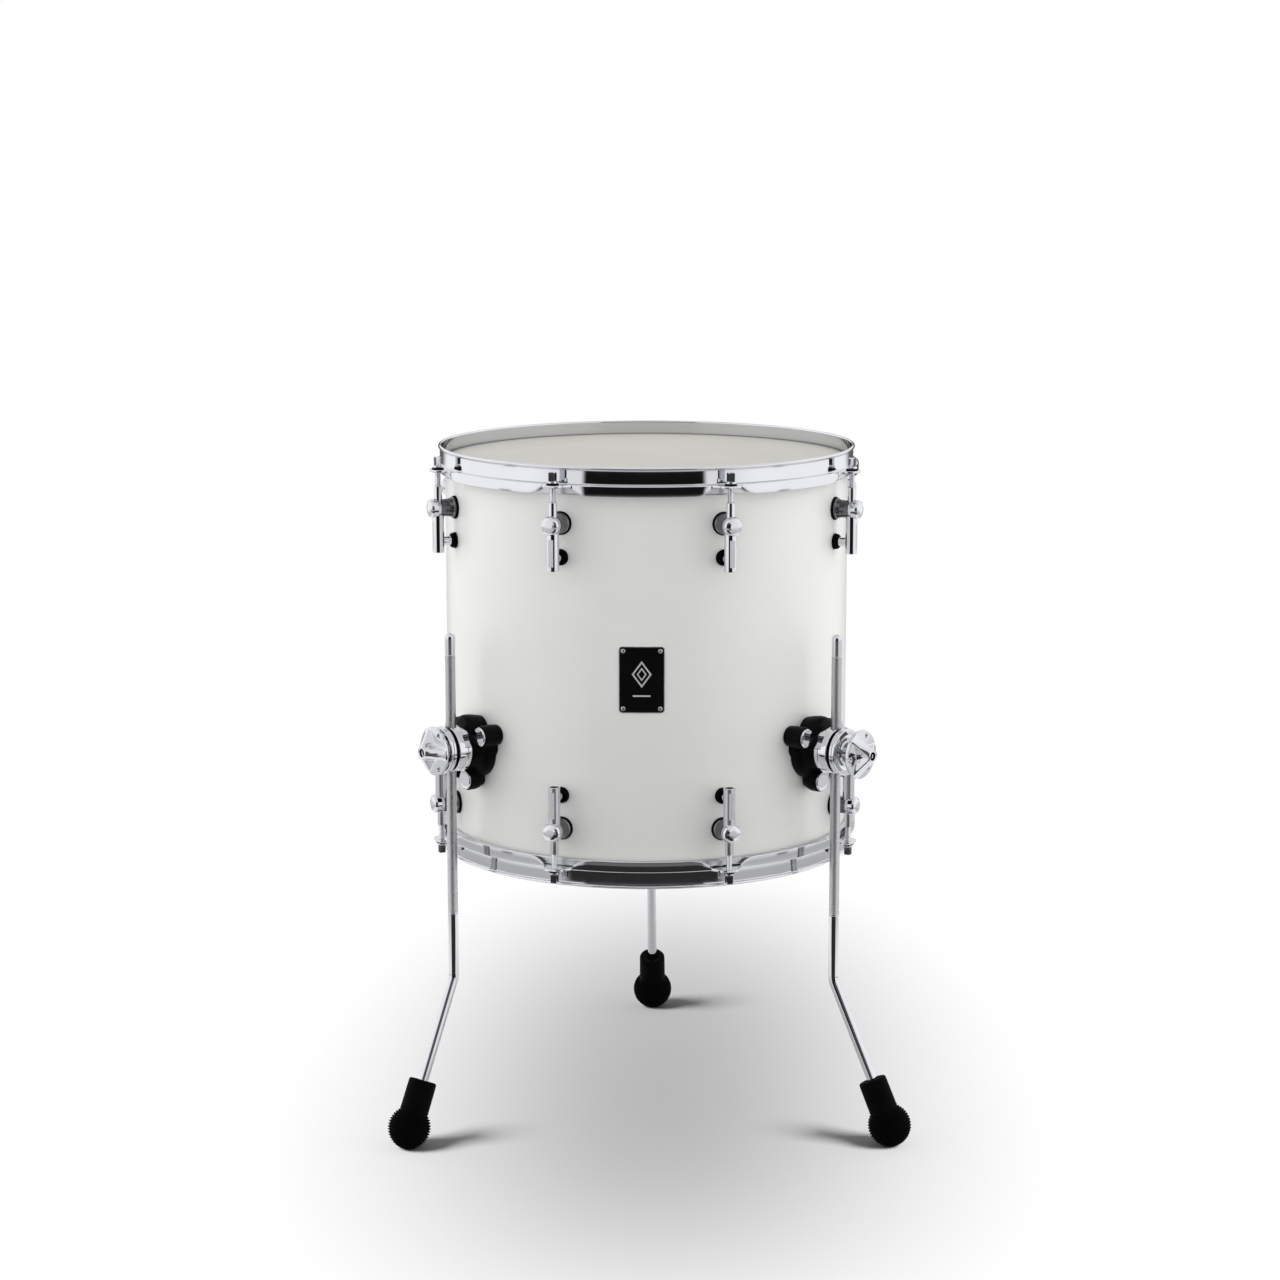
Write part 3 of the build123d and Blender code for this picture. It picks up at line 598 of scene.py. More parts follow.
def hoop_section(off):
    """One section of the hoop: height above the shell's edge, radius."""
    top = HOOP_TOP - TOP
    rise = min(1.0, max(0.0, (off - 15.0) / 21.0))
    low = -5.6 - 8.0 * (1 - (1 - rise) ** 2.6)
    skirt = min(1.0, max(0.0, (-5.6 - low) / 2.0))
    swell = ear_reach(off) - HOOP_OUT
    return [
        (-5.3, 205.5), (0, 205.5), (top - 1.7, 205.5), (top - 0.6, 205.85), (top - 0.12, 206.5),
        (top, 207.3), (top - 0.15, 208.3), (top - 0.7, 209.1), (top - 1.5, 209.45),
        (top - 2.3, 209.3), (top - 2.9, 208.7), (top - 3.3, 207.95), (top - 4.2, 207.8),
        (2, 207.8), (-2.0, 207.85), (-2.6, 208.15), (-2.95, 208.9), (-3.0, 209.8),
        (-3.0, 211.9 + swell), (-3.12, 212.7 + swell), (-3.5, 213.25 + swell),
        (-4.1, HOOP_OUT + swell), (min(-4.6, low + 0.8), HOOP_OUT + swell),
        (low + 0.25, 213.3 + swell), (low, 212.7 + swell), (low, 212.0 + swell),
        (low + 0.25, 211.4 + swell), (min(-5.0, low + 0.8), 211.2 + swell),
        (-5.3 - 0.2 * skirt, 211.0 + swell), (-5.3, 210.4 + swell * 0.9)]


def hoop(flip):
    """One pressed section whose skirt rises and whose flange widens at each ear."""
    fine, coarse = np.arange(-18, 18.01, 0.6), np.arange(-EAR_HALF, EAR_HALF + 0.01, 1.25)
    along_ear = sorted({round(t, 3) for t in fine} | {round(t, 3) for t in coarse})
    half_angle = degrees(EAR_HALF / EAR_ARC_R)
    stations = []                                  # angle, distance from the ear's middle
    for angle in sorted(a % 360 for a in ROD_ANGLES):
        stations += [(angle + degrees(t / EAR_ARC_R), t) for t in along_ear]
        start, end = angle + half_angle, angle + ROD_PITCH - half_angle
        stations += [(start + (end - start) * k / 23, 99.0) for k in range(1, 23)]
    piece, rings = Piece(), []
    for angle, along in stations:
        t = radians(angle)
        rings.append(piece.ring([
            (r * sin(t), -r * cos(t), 2 * MID - (TOP + z) if flip else TOP + z)
            for z, r in hoop_section(abs(along))]))
    return piece.join(rings + rings[:1])


def rod_washer():
    return upright(rounded(shifted(EAR, [
        (0.02, 3.05), (0.02, 6.1, 0.25), (0.9, 6.1, 0.3), (1.7, 4.9, 0.3), (1.7, 3.05)]),
        steps=3), 40, out=ROD_R, closed=True)


ENDS = (("batter", False), ("resonant", True))
for end, flip in ENDS:
    make(f"{end}_hoop_pressed", hoop(flip), [CHROME], f"{end}_hoop", f"{end}_hoop", "chrome",
         sharp=40)
for end, flip in ENDS:
    washers = copied(rod_washer(), [turned(a, flip) for a in ROD_ANGLES])
    make(f"{end}_washers", washers, [PLASTIC], f"{end}_hoop", f"{end}_rod_washers",
         "black_plastic")


# ---------------------------------------------------------------- tension rods
THREAD_R = 2.9
THREAD_LOW, THREAD_TOP = TOP - 76.0, TOP - 5.5
ROD_NECK = EAR + 1.76                          # top of the washer
ROD_HEAD_HALF = 3.175


def thread():
    """The shank: a rolled thread of pitch 1, running out at its lower end."""
    profile = [(THREAD_LOW, 0.0), (THREAD_LOW, 2.0)]
    profile += [(z, THREAD_R) for z in stepped(THREAD_LOW + 0.35, THREAD_TOP, 1.0 / 6)]
    profile += [(THREAD_TOP + 0.3, 2.65), (THREAD_TOP + 0.8, 2.6), (ROD_NECK, 2.6)]

    def groove(along, radius, turn):
        if radius != THREAD_R:
            return radius
        run_out = min(1, max(0, (along - THREAD_LOW) / 1.2))
        return THREAD_R - 0.30 * thread_groove(along, turn, 1.0) * run_out

    return upright(profile, 20, out=ROD_R, reshape=groove)


def rod_head(low, high, bevel=0.75, steps=3):
    """The square head, its upper and lower rims rounded; its front face is in slot 1, near-black as a painted dark
    reflection.
    """
    half, corner = ROD_HEAD_HALF, 0.8
    outline = [Vector(p) for p in rounded([
        (half, half, corner), (-half, half, corner), (-half, -half, corner),
        (half, -half, corner)], steps=3)]
    count = len(outline)
    normals = []
    for i, point in enumerate(outline):
        before, after = point - outline[i - 1], outline[(i + 1) % count] - point
        normal = Vector((before.y, -before.x)).normalized()
        normals.append((normal + Vector((after.y, -after.x)).normalized()).normalized())
    levels = [(low + bevel * (1 - cos(t)), bevel * (1 - sin(t)))
              for t in np.linspace(0, pi / 2, steps + 1)]
    levels += [(high - bevel * (1 - cos(t)), bevel * (1 - sin(t)))
               for t in np.linspace(pi / 2, 0, steps + 1)]
    piece, rings = Piece(), []
    for height, inset in levels:
        flat = [p - n * inset for p, n in zip(outline, normals)]
        rings.append(piece.ring([Vector((0, -ROD_R, 0)) + Vector((q.x, q.y, height))
                                 for q in flat]))
    piece.join(rings)
    piece.face(rings[0][::-1])
    piece.face(rings[-1])
    # the front face is near-black: a painted dark reflection
    return piece.paint(1, where=lambda x, y, z: y < -ROD_R - half + 0.45)


def rod():
    collar = rounded(shifted(ROD_NECK, [
        (0, 0), (0, 4.9, 0.3), (1.5, 4.9, 0.5), (2.3, 3.6, 0.5), (2.6, 2.2)]),
        closed=False, steps=3)
    piece = thread()
    piece.add(upright(collar, 36, out=ROD_R))
    return piece.add(rod_head(ROD_NECK + 1.6, ROD_NECK + 10.4))


rod_piece = rod()
for end, flip in ENDS:
    for i, angle in enumerate(ROD_ANGLES, start=1):
        make(f"{end}_tension_rod_{i}", copied(rod_piece, [turned(angle, flip)]),
             [CHROME_ROD, DARK_REFLECTION_PAINT], f"{end}_rod_{i}", f"{end}_rod_{i}", "chrome", sharp=28)


# ---------------------------------------------------------------- lugs
LUG_Z, PIN_Z = TOP - 41.5, TOP - 74.3          # the round body, and the post below it
TUBE_LOW, TUBE_TOP, TUBE_R = TOP - 85.5, TOP - 37.0, 5.9
PANEL_LOW, PANEL_TOP = TUBE_LOW + 4.5, TUBE_LOW + 30.5
PANEL_OUT = TUBE_R - 0.75                      # from the tube's axis to the flat panel


def lug_tube():
    """A tube with a flat panel on its outer side, in slot 1, and a post towards the shell."""
    heights = [TUBE_LOW + 0.35, PANEL_LOW - 0.01, PANEL_LOW, PANEL_LOW + 3,
               (PANEL_LOW + PANEL_TOP) / 2, PANEL_TOP - 3, PANEL_TOP, PANEL_TOP + 0.01, TUBE_TOP]
    profile = [(TUBE_LOW + 0.3, 4.25), (TUBE_LOW, 4.6), (TUBE_LOW, TUBE_R - 0.3)]
    profile += [(z, TUBE_R) for z in heights] + [(TUBE_TOP, 4.25)]

    def flatten(along, radius, turn):
        if radius == TUBE_R and PANEL_LOW <= along <= PANEL_TOP:
            if radius * sin(turn) < -PANEL_OUT:
                return PANEL_OUT / abs(sin(turn))
        return radius

    piece = upright(profile, 72, out=ROD_R, closed=True, reshape=flatten)
    piece.paint(1, where=lambda x, y, z: (y + ROD_R < -PANEL_OUT + 0.02
                                          and PANEL_LOW - 0.001 <= z <= PANEL_TOP + 0.001))
    post_in, post_out = SHELL_R + 5.1, ROD_R - 4.6
    post = rounded([(post_in, 0), (post_in, 4.6, 0.4), (post_out, 4.6), (post_out, 0)],
                   closed=False, steps=3)
    return piece.add(radial(post, 40, PIN_Z))


def lug_body():
    """A round body, bored for the tube below and open above; its foot, next to the shell, is in slot 1, a darker
    chrome that is painted shade.
    """
    profile = shifted(SHELL_R, [
        (2.1, 0), (2.1, 10.3, 0.4), (3.4, 10.35, 0.6), (4.5, 9.5, 0.8), (7.5, 8.75, 3),
        (12.0, 8.45, 9)])
    profile += shifted(ROD_R, [
        (-1.0, 8.75, 4), (2.0, 9.25, 1.6), (6.6, 9.25, 1.6), (8.7, 8.3, 1.6), (9.75, 6.6, 1.6),
        (10.1, 4.0, 3.0), (10.25, 0)])
    pocket = shifted(LUG_Z, [(5.4, 0), (5.4, 5.1), (30, 5.1), (30, 0)])
    bore_r = TUBE_R + 0.06
    bore = shifted(LUG_Z, [(-30, 0), (-30, bore_r), (-1, bore_r), (-1, 0)])
    piece = cut(radial(rounded(profile, closed=False, steps=8), 80, LUG_Z),
                [upright(pocket, 48, out=ROD_R), upright(bore, 64, out=ROD_R)])
    # the foot next to the shell takes the darker chrome: painted shade
    piece.paint(1, where=lambda x, y, z: -y < ROD_R + 0.5)
    return hug(piece, SHELL_R + 5.0)


def lug_insert():
    return upright(rounded(shifted(TOP, [
        (-63.0, 2.96), (-63.0, 4.1, 0.3), (-19.5, 4.1, 0.9), (-19.5, 3.05, 0.2),
        (-21.0, 2.96)]), steps=4), 48, out=ROD_R, closed=True)


def lug_gasket():
    profile = shifted(SHELL_R, [(0.03, 2.9), (0.03, 11.4, 0.3), (2.05, 11.4, 0.8), (2.05, 2.9)])
    return hug(radial(rounded(profile, steps=4), 72, LUG_Z, closed=True), SHELL_R + 60)


def lug_isolator():
    profile = shifted(SHELL_R, [
        (0.03, 2.9), (0.03, 7.9, 0.4), (1.7, 7.9, 0.5), (2.2, 6.9, 0.4), (2.9, 6.9, 0.4),
        (3.4, 7.6, 0.4), (5.05, 6.4, 0.8), (5.05, 2.9)])
    return hug(radial(rounded(profile, steps=4), 64, PIN_Z, closed=True), SHELL_R + 12)


LUG_PLACES = [turned(a, flip) for flip in (False, True) for a in ROD_ANGLES]
for name, piece, materials, slot in (
        ("lug_tubes", lug_tube(), [CHROME, CHROME_SOFT], "chrome"),
        ("lug_bodies", lug_body(), [CHROME, CHROME_PAINTED_SHADE], "chrome"),
        ("lug_swivel_nuts", lug_insert(), [CHROME_ROD], "chrome"),
        ("lug_gaskets", lug_gasket(), [RUBBER], "black_rubber"),
        ("lug_isolators", lug_isolator(), [RUBBER], "black_rubber")):
    make(name + "_detailed", copied(piece, LUG_PLACES), materials, "root", name, slot, sharp=30)


# ---------------------------------------------------------------- badge
# Built flat at the front, x across and y up from the badge's middle, then wrapped.
badge_lo, badge_hi = box_mm("badge_plate")
BADGE_W, BADGE_H = badge_hi.x - badge_lo.x, badge_hi.z - badge_lo.z
BADGE_OUT = -badge_lo.y                        # from the drum's axis to the plate's face


def wrapped(piece):
    """Wraps a flat piece round the shell: x becomes arc length."""
    piece.vertices = [(-y * sin(x / SHELL_R), y * cos(x / SHELL_R), z)
                      for x, y, z in piece.vertices]
    return piece


def rectangle(width, height, corner):
    x, y = width / 2, height / 2
    return rounded([(x, y, corner), (-x, y, corner), (-x, -y, corner), (x, -y, corner)], steps=6)


def dense(points, step=1.2):
    """Splits the sides of an outline into steps, so that it can follow the curve."""
    result = []
    for start, end in zip(points, points[1:] + points[:1]):
        count = max(1, int(distance(start, end) / step))
        for j in range(count):
            result.append(tuple(a + (b - a) * j / count for a, b in zip(start, end)))
    return result


def scaled(points, scale):
    return [(x * scale, y * scale) for x, y in points]


def raised_frame(outer, inner, back, face, z):
    """A flat frame between two outlines that have the same number of points."""
    piece = Piece()
    outer_back, inner_back, outer_face, inner_face = [
        piece.ring([(x, -out, z + y) for x, y in points])
        for out in (back, face) for points in (outer, inner)]
    for k in range(len(outer)):
        j = (k + 1) % len(outer)
        for a, b in ((outer_face, inner_face), (outer_back, outer_face),
                     (inner_back, inner_face), (outer_back, inner_back)):
            piece.face((a[k], a[j], b[j], b[k]))
    return piece


def badge_plate():
    piece, rings = Piece(), []
    outline = dense(rectangle(BADGE_W, BADGE_H, 3.2), 1.0)
    # out from the drum's axis, inset: the edge of the plate
    for out, inset in ((SHELL_R + 0.03, 0.0), (BADGE_OUT - 0.35, 0.0), (BADGE_OUT - 0.1, 0.1),
                       (BADGE_OUT, 0.35)):
        across, up = 1 - inset / (BADGE_W / 2), 1 - inset / (BADGE_H / 2)
        rings.append(piece.ring([(x * across, -out, MID + y * up) for x, y in outline]))
    # rings within the face let it follow the curve
    for scale in (0.88, 0.7, 0.45, 0.2):
        rings.append(piece.ring([(x * scale, -BADGE_OUT, MID + y * scale) for x, y in outline]))
    piece.join(rings)
    piece.face(rings[-1])
    piece.face(rings[0][::-1])
    return piece


def badge():
    """The plate, a raised bright edge, two nested lozenges and a short bar under them."""
    piece = badge_plate()
    piece.add(raised_frame(dense(rectangle(BADGE_W - 0.5, BADGE_H - 0.5, 3.0)),
                           dense(rectangle(BADGE_W - 1.5, BADGE_H - 1.5, 2.5)),
                           BADGE_OUT - 0.2, BADGE_OUT + 0.12, MID), slot=1)
    for width, height, line in ((19.0, 26.0, 1.5), (9.5, 13.0, 1.2)):
        outline = dense([(0, height / 2), (width / 2, 0), (0, -height / 2), (-width / 2, 0)], 1.0)
        inner = scaled(outline, 1 - line / (width / 2) * 1.25)
        piece.add(raised_frame(outline, inner, BADGE_OUT - 0.1, BADGE_OUT + 0.16, MID + 5.5),
                  slot=2)
    bar = dense(rectangle(17.0, 1.5, 0.4))
    piece.add(raised_frame(bar, scaled(bar, 0.02), BADGE_OUT - 0.1, BADGE_OUT + 0.14,
                           MID - 15.5), slot=2)
    return wrapped(piece)


def badge_rivets():
    """A domed rivet near each corner of the badge."""
    radius, across, up = 2.1, 17.75, 28.0
    profile = [(0.02, 0), (0.02, radius)]
    profile = shifted(BADGE_OUT, profile)
    profile += [(BADGE_OUT + 0.15 + 0.6 * sin(t), radius * cos(t))
                for t in np.linspace(0.1, pi / 2 - 0.12, 6)]
    profile.append((BADGE_OUT + 0.76, 0))
    piece = Piece()
    for x in (-across, across):
        for y in (-up, up):
            piece.add(radial(profile, 28, MID + y), turned(degrees(asin(x / SHELL_R))))
    return piece


make("badge_plate_detailed", badge(), [BADGE_BLACK, BADGE_BRIGHT, PRINT], "root", "badge_plate",
     "badge_black", sharp=30)
make("badge_rivets_domed", badge_rivets(), [CHROME_SOFT], "root", "badge_rivets", "steel")


# ---------------------------------------------------------------- vent grommet
def vent_grommet():
    """A rolled ring with a near-black disc in its hole, painted shade where the hole looks into the drum."""
    ring = rounded(shifted(SHELL_R, [
        (-0.4, 4.3), (0.02, 9.0, 0.3), (1.1, 8.9, 0.6), (1.75, 6.6, 0.8), (1.5, 4.6, 0.5)]),
        steps=4)
    piece = hug(radial(ring, 56, MID, closed=True), SHELL_R + 10)
    # the disc in the hole is painted shade
    return piece.add(radial(shifted(SHELL_R, [(0.35, 4.6), (0.35, 0)]), 40, MID), slot=1)


vent_lo, vent_hi = box_mm("vent_grommet")
VENT_ANGLE = angle_of(((vent_lo.x + vent_hi.x) / 2, (vent_lo.y + vent_hi.y) / 2))
make("vent_grommet_rolled", copied(vent_grommet(), [turned(VENT_ANGLE)]), [CHROME_SOFT, PAINTED_SHADE],
     "root", "vent_grommet", "chrome")


# ---------------------------------------------------------------- leg brackets
# Distances out are from the drum's axis.
LOBES = [(26.0, 14.0), (-26.0, 14.0), (0.0, -33.0)]    # x, height above the bracket's centre
LOBE_OUT = 220.6
CLAMP_IN, CLAMP_OUT, CLAMP_R = 226.5, 244.8, 22.5      # the turned clamp body
DISC_OUT, DISC_R = 251.4, CLAMP_R + 0.5                # the disc outside it
STUD_R, STUD_PITCH, STUD_OUT = 4.0, 1.25, 268.4
EYE_D = 16.4


def base_moulding():
    """Round swellings fused into one soft moulding, its back pressed onto the shell."""
    root = [(SHELL_R - 3, 0)]
    piece = radial(root + shifted(SHELL_R, [
        (-3, 24.6), (1.5, 25.7), (6, 25.5), (10.5, 23.8), (13.8, 20.5), (14.5, 16),
        (14.5, 0)]), 96, BRACKET_Z - 5.6)
    piece.add(radial(root + shifted(SHELL_R, [
        (-3, 24.0), (8, 24.6), (14, 23.6), (19, 22.0)]) + shifted(CLAMP_IN, [
            (-1.4, 20.9), (-0.25, 19.8), (-0.15, 18), (-0.15, 0)]), 96, BRACKET_Z))
    piece.add(radial(root + shifted(SHELL_R, [
        (-3, 12.8), (3, 14.0), (9, 15.3), (14, 15.9)]) + shifted(CLAMP_IN, [
            (-6, 15.9), (-3.6, 15.0), (-2.6, 12.5), (-2.5, 0)]), 96, BRACKET_Z + 16))
    for x, y in LOBES:
        near = [(-3, 10.0), (1, 10.4), (4.5, 10.8)] if x else [(-3, 6.4), (1, 7.8), (4.5, 9.6)]
        tip = shifted(LOBE_OUT, [(-0.9, 10.7), (-0.1, 10.1), (-0.1, 0)])
        piece.add(radial(root + shifted(SHELL_R, near + [(9, 10.8)]) + tip, 64,
                         BRACKET_Z + y, x=x))
    for side in (-1, 1):
        piece.add(radial(root + shifted(SHELL_R, [
            (-3, 10.6), (4, 10.2), (8, 8.8), (9.6, 6.4), (9.8, 0)]), 56, BRACKET_Z + 0.5,
            x=side * 17.6))
    obj = mesh_object("tmp_mould", piece, [PLASTIC])
    fuse = obj.modifiers.new("fuse", "REMESH")
    fuse.mode = "VOXEL"
    fuse.voxel_size = 0.0007     # metres
    soft = obj.modifiers.new("soft", "SMOOTH")
    soft.factor = 0.5
    soft.iterations = 10
    fused = baked(obj)
    floor_r = SHELL_R + 0.06
    pressed = []
    for x, y, z in fused.vertices:
        radius = hypot(x, y)
        if radius < floor_r:
            x, y = x * floor_r / radius, y * floor_r / radius
        pressed.append((x, y, z))
    fused.vertices = pressed
    return fused


def lobe_caps():
    profile = rounded(shifted(LOBE_OUT, [
        (-1.1, 0), (-1.1, 9.5), (0.7, 9.5, 0.4), (1.45, 8.7, 0.5), (1.3, 6.5, 2), (1.2, 0)]),
        closed=False, steps=4)
    piece = Piece()
    for x, y in LOBES:
        piece.add(radial(profile, 56, BRACKET_Z + y, x=x))
    return piece


def leg_bore():
    return upright(shifted(BRACKET_Z, [(-40, 0), (-40, 6.0), (40, 6.0), (40, 0)]), 56, out=LEG_R)


def clamp_body():
    """A turned drum with a fine groove, notched over the lobes and bored for the leg."""
    neck_r = CLAMP_R - 2.7
    profile = shifted(CLAMP_IN, [
        (0, 0), (0, CLAMP_R, 0.9), (4.2, CLAMP_R, 0.1), (4.6, CLAMP_R - 0.45, 0.1),
        (5.0, CLAMP_R, 0.1), (14.4, CLAMP_R, 0.9), (14.45, neck_r)])
    profile += [(CLAMP_OUT, neck_r), (CLAMP_OUT, 0)]
    notch = shifted(CLAMP_IN, [(-2, 0), (-2, 10.6), (8.2, 10.6), (8.2, 0)])
    notches = [radial(notch, 56, BRACKET_Z + y, x=x) for x, y in LOBES]
    return cut(radial(rounded(profile, closed=False), 112, BRACKET_Z), notches + [leg_bore()])


def clamp_ring():
    profile = shifted(CLAMP_IN, [
        (14.5, CLAMP_R - 2.6), (14.5, CLAMP_R - 1.0, 0.4), (16.1, CLAMP_R - 0.7, 0.5)])
    profile += shifted(CLAMP_OUT, [(-0.02, CLAMP_R - 1.0, 0.4), (-0.02, CLAMP_R - 2.6)])
    return cut(radial(rounded(profile, steps=4), 96, BRACKET_Z, closed=True), [leg_bore()])


def clamp_disc():
    """A disc with a fine groove round its edge and a dished outer face."""
    profile = shifted(CLAMP_OUT, [
        (0.05, 4.2), (0.05, DISC_R, 0.7), (2.6, DISC_R, 0.1), (3.0, CLAMP_R + 0.1, 0.1),
        (3.4, DISC_R, 0.1)])
    profile += shifted(DISC_OUT, [
        (-0.1, DISC_R, 1.4), (0, 17.5, 0.5), (-1.6, 14.6, 1.2), (-1.7, 11.2, 0.8),
        (-0.05, 10.2, 0.4), (-0.05, 4.2)])
    return radial(rounded(profile), 112, BRACKET_Z, closed=True)


def clamp_stud():
    """A threaded stud whose end, in slot 1, is near-black as painted shade, and the eye round the leg."""
    start = LEG_R + 7.6
    profile = [(start, 0), (start, 3.9), (DISC_OUT - 3, 3.9)]
    profile += [(out, STUD_R) for out in stepped(DISC_OUT - 2.8, 267.6, STUD_PITCH / 7)]
    profile += [(267.8, 3.5), (STUD_OUT, 3.0), (STUD_OUT, 0)]

    def groove(along, radius, turn):
        if radius != STUD_R:
            return radius
        return STUD_R - 0.36 * thread_groove(along, turn, STUD_PITCH)

    piece = radial(profile, 28, BRACKET_Z, reshape=groove)
    # the stud's end, deep in the nut's hole, is painted shade
    piece.paint(1, where=lambda x, y, z: hypot(x, z - BRACKET_Z) < 3.1 and y < -268.0)
    eye = rounded(shifted(BRACKET_Z, [
        (-7, 5.97), (-7, EYE_D / 2, 0.6), (7, EYE_D / 2, 0.6), (7, 5.97)]), steps=3)
    return piece.add(upright(eye, 56, out=LEG_R, closed=True))


def make_brackets(name, piece, materials, replaced, slot, **shading):
    piece = copied(piece, [turned(LEG_ANGLE[s]) for s in SIDES])
    make(name, piece, materials, "root", replaced, slot, **shading)


make_brackets("bracket_mouldings", base_moulding(), [PLASTIC], "bracket_bases", "black_plastic",
              sharp=55, even=False)
make_brackets("bracket_caps", lobe_caps(), [CHROME], "bracket_lobe_caps", "chrome")
make_brackets("clamp_bodies_turned", clamp_body(), [CHROME], "clamp_bodies", "chrome", sharp=28)
make_brackets("clamp_rubber_rings", clamp_ring(), [RUBBER], "clamp_rings", "black_rubber")
make_brackets("clamp_discs", clamp_disc(), [CHROME], "clamp_caps", "chrome", sharp=28)
make_brackets("clamp_studs", clamp_stud(), [CHROME_ROD, PAINTED_SHADE], "clamp_eyebolts", "chrome",
              sharp=28)


# ---------------------------------------------------------------- wing nuts
WING_IN = 254.3                                # from the drum's axis to the nut's base
WING_TURN = {"front_left": 0.0, "front_right": -6.0, "rear": 20.0}
# rings of the outer face, from its bore to its rim
WING_RADII = [
    4.3, 4.31, 5.4, 5.9, 6.3, 6.6, 7.0, 7.5, 8, 8.6, 9.2, 10, 10.8, 11.6, 12.4, 13.2, 14, 15,
    15.6, 16.2, 16.8, 17.4, 18, 18.6, 19.2, 19.8, 20.4, 21, 21.6, 22.2, 22.8, 23.2, 23.6, 23.85]
# radius, height: the rim, the back and the bore
WING_BACK = [
    (24.0, 2.1), (24.0, 1.4), (23.7, 0.6), (23.0, 0.2), (9.2, 0.15), (8.7, -0.2), (8.0, -1.2),
    (7.4, -1.4), (4.15, -1.4), (4.15, 13.0)]


def wing_height(radius, turn):
    """Height of the face: a flanged cone with three ridges, and a dimple between each two."""
    edge = 23.4
    if radius > 9.6:
        low = 3.2 + 0.6 * (1 - (radius - 9.6) / 14.4)
    else:
        low = 3.8 + 13.0 * ((9.6 - radius) / 3.6) ** 1.35
    if radius > edge:
        high = 3.9 - (radius - edge) * 1.6
    else:
        high = 3.9 + max(0.0, (edge - radius) / (edge - 6.4)) ** 1.15 * 13.4
    low, high = min(low, 17.1), min(high, 17.25)
    ridge = 0.0
    for k in range(3):
        middle = pi / 2 + k * 2 * pi / 3
        off_turn = (turn - middle + pi) % (2 * pi) - pi
        if abs(off_turn) < pi / 2:
            off = abs(radius * sin(off_turn))
            half = 3.9 + 1.1 * (1 - radius / 24)
            share = 1 - min(1.0, max(0.0, (off - half) / 1.9))
            share = share * share * (3 - 2 * share)
            ridge = max(ridge, share * (1 - 0.10 * min(1.0, off / half) ** 2))
    height = low + (high - low) * ridge
    for k in range(3):
        middle = pi / 6 + k * 2 * pi / 3
        off = hypot(radius * cos(turn) - 19.0 * cos(middle), radius * sin(turn) - 19.0 * sin(middle))
        if off < 2.4:
            height -= 2.0 * min(1.0, max(0.0, (2.4 - off) / 0.6))
    return height


def wing_nut():
    angles = turns(224)
    levels = [(4.3, [13.2] * len(angles))]
    for radius in WING_RADII[1:]:
        if radius < 6.0:
            levels.append((radius, [16.8 if radius < 5.2 else 17.4] * len(angles)))
        else:
            levels.append((radius, [wing_height(radius, t) for t in angles]))
    levels += [(radius, [height] * len(angles)) for radius, height in WING_BACK]
    piece, rings = Piece(), []
    for radius, heights in levels:
        rings.append(piece.ring([
            (radius * sin(t), -(WING_IN + height), BRACKET_Z + radius * cos(t))
            for t, height in zip(angles, heights)]))
    return piece.join(rings + rings[:1])


def wing_washer():
    return radial(rounded(shifted(DISC_OUT, [
        (0.05, 4.25), (0.05, 9.0, 0.3), (1.42, 9.0, 0.4), (1.42, 4.25)]), steps=3),
        56, BRACKET_Z, closed=True)


nut_piece, washer_piece = wing_nut(), wing_washer()
for side in SIDES:
    # the frame's washer tells how far this nut stands off
    axis = Vector(JOINTS[f"wing_turn_{side}"]["axis"])
    washer_lo, washer_hi = box_mm(f"wing_washer_{side}")
    stand_off = ((washer_lo + washer_hi) / 2).dot(axis) - (DISC_OUT + 0.75)
    place = Matrix.Translation(axis * stand_off) @ turned(LEG_ANGLE[side])
    spin = (Matrix.Translation((0, 0, BRACKET_Z))
            @ Matrix.Rotation(radians(WING_TURN[side]), 4, "Y")
            @ Matrix.Translation((0, 0, -BRACKET_Z)))
    nut, washer = f"wing_nut_{side}", f"wing_washer_{side}"
    make(nut + "_ridged", copied(nut_piece, [place @ spin]), [CHROME], nut, nut, "chrome",
         sharp=45)
    make(washer + "_turned", copied(washer_piece, [place]), [STEEL], washer, washer, "steel")


# ---------------------------------------------------------------- legs and feet
BALL_R, BALL_Z = 21.4, 20.4                    # the foot's ball
BEND_Z, BEND_R, SPREAD = 160.5, 24.0, 62.5     # SPREAD: how far out the foot is from the rod
FOOT_R = LEG_R + SPREAD
slope_out, slope_z = FOOT_R - LEG_R, BALL_Z - BEND_Z
slope_length = hypot(slope_out, slope_z)
slope_out, slope_z = slope_out / slope_length, slope_z / slope_length
SATIN_LOW, SATIN_TOP = 227.5, LEG_TOP - 21.7   # the knurled stretch, between two grooves
LEG_ROD_R, SATIN_R, GROOVE_R = 5.0, 4.96, 4.6
ROD_GIRTH, KNURL_TURNS = 0.0314, 16            # metres; diamonds round the rod
# distance up the leg from the ball's centre, radius: the foot's neck and its mouth
NECK_R = 14.1
BALL_TOP = sqrt(BALL_R ** 2 - NECK_R ** 2)
NECK = [
    (BALL_TOP + 0.9, NECK_R + 0.25), (BALL_TOP + 2.2, NECK_R), (24, NECK_R), (30, NECK_R - 0.05),
    (36, NECK_R - 0.1), (41, NECK_R - 0.15), (45.4, NECK_R - 0.2), (46.7, NECK_R - 0.45),
    (47.6, NECK_R - 1.1), (48.0, NECK_R - 2.0), (47.9, 9.0), (47.1, 7.6), (46.6, 6.4),
    (46.2, 5.5), (45.0, 5.06), (42.0, 5.04)]


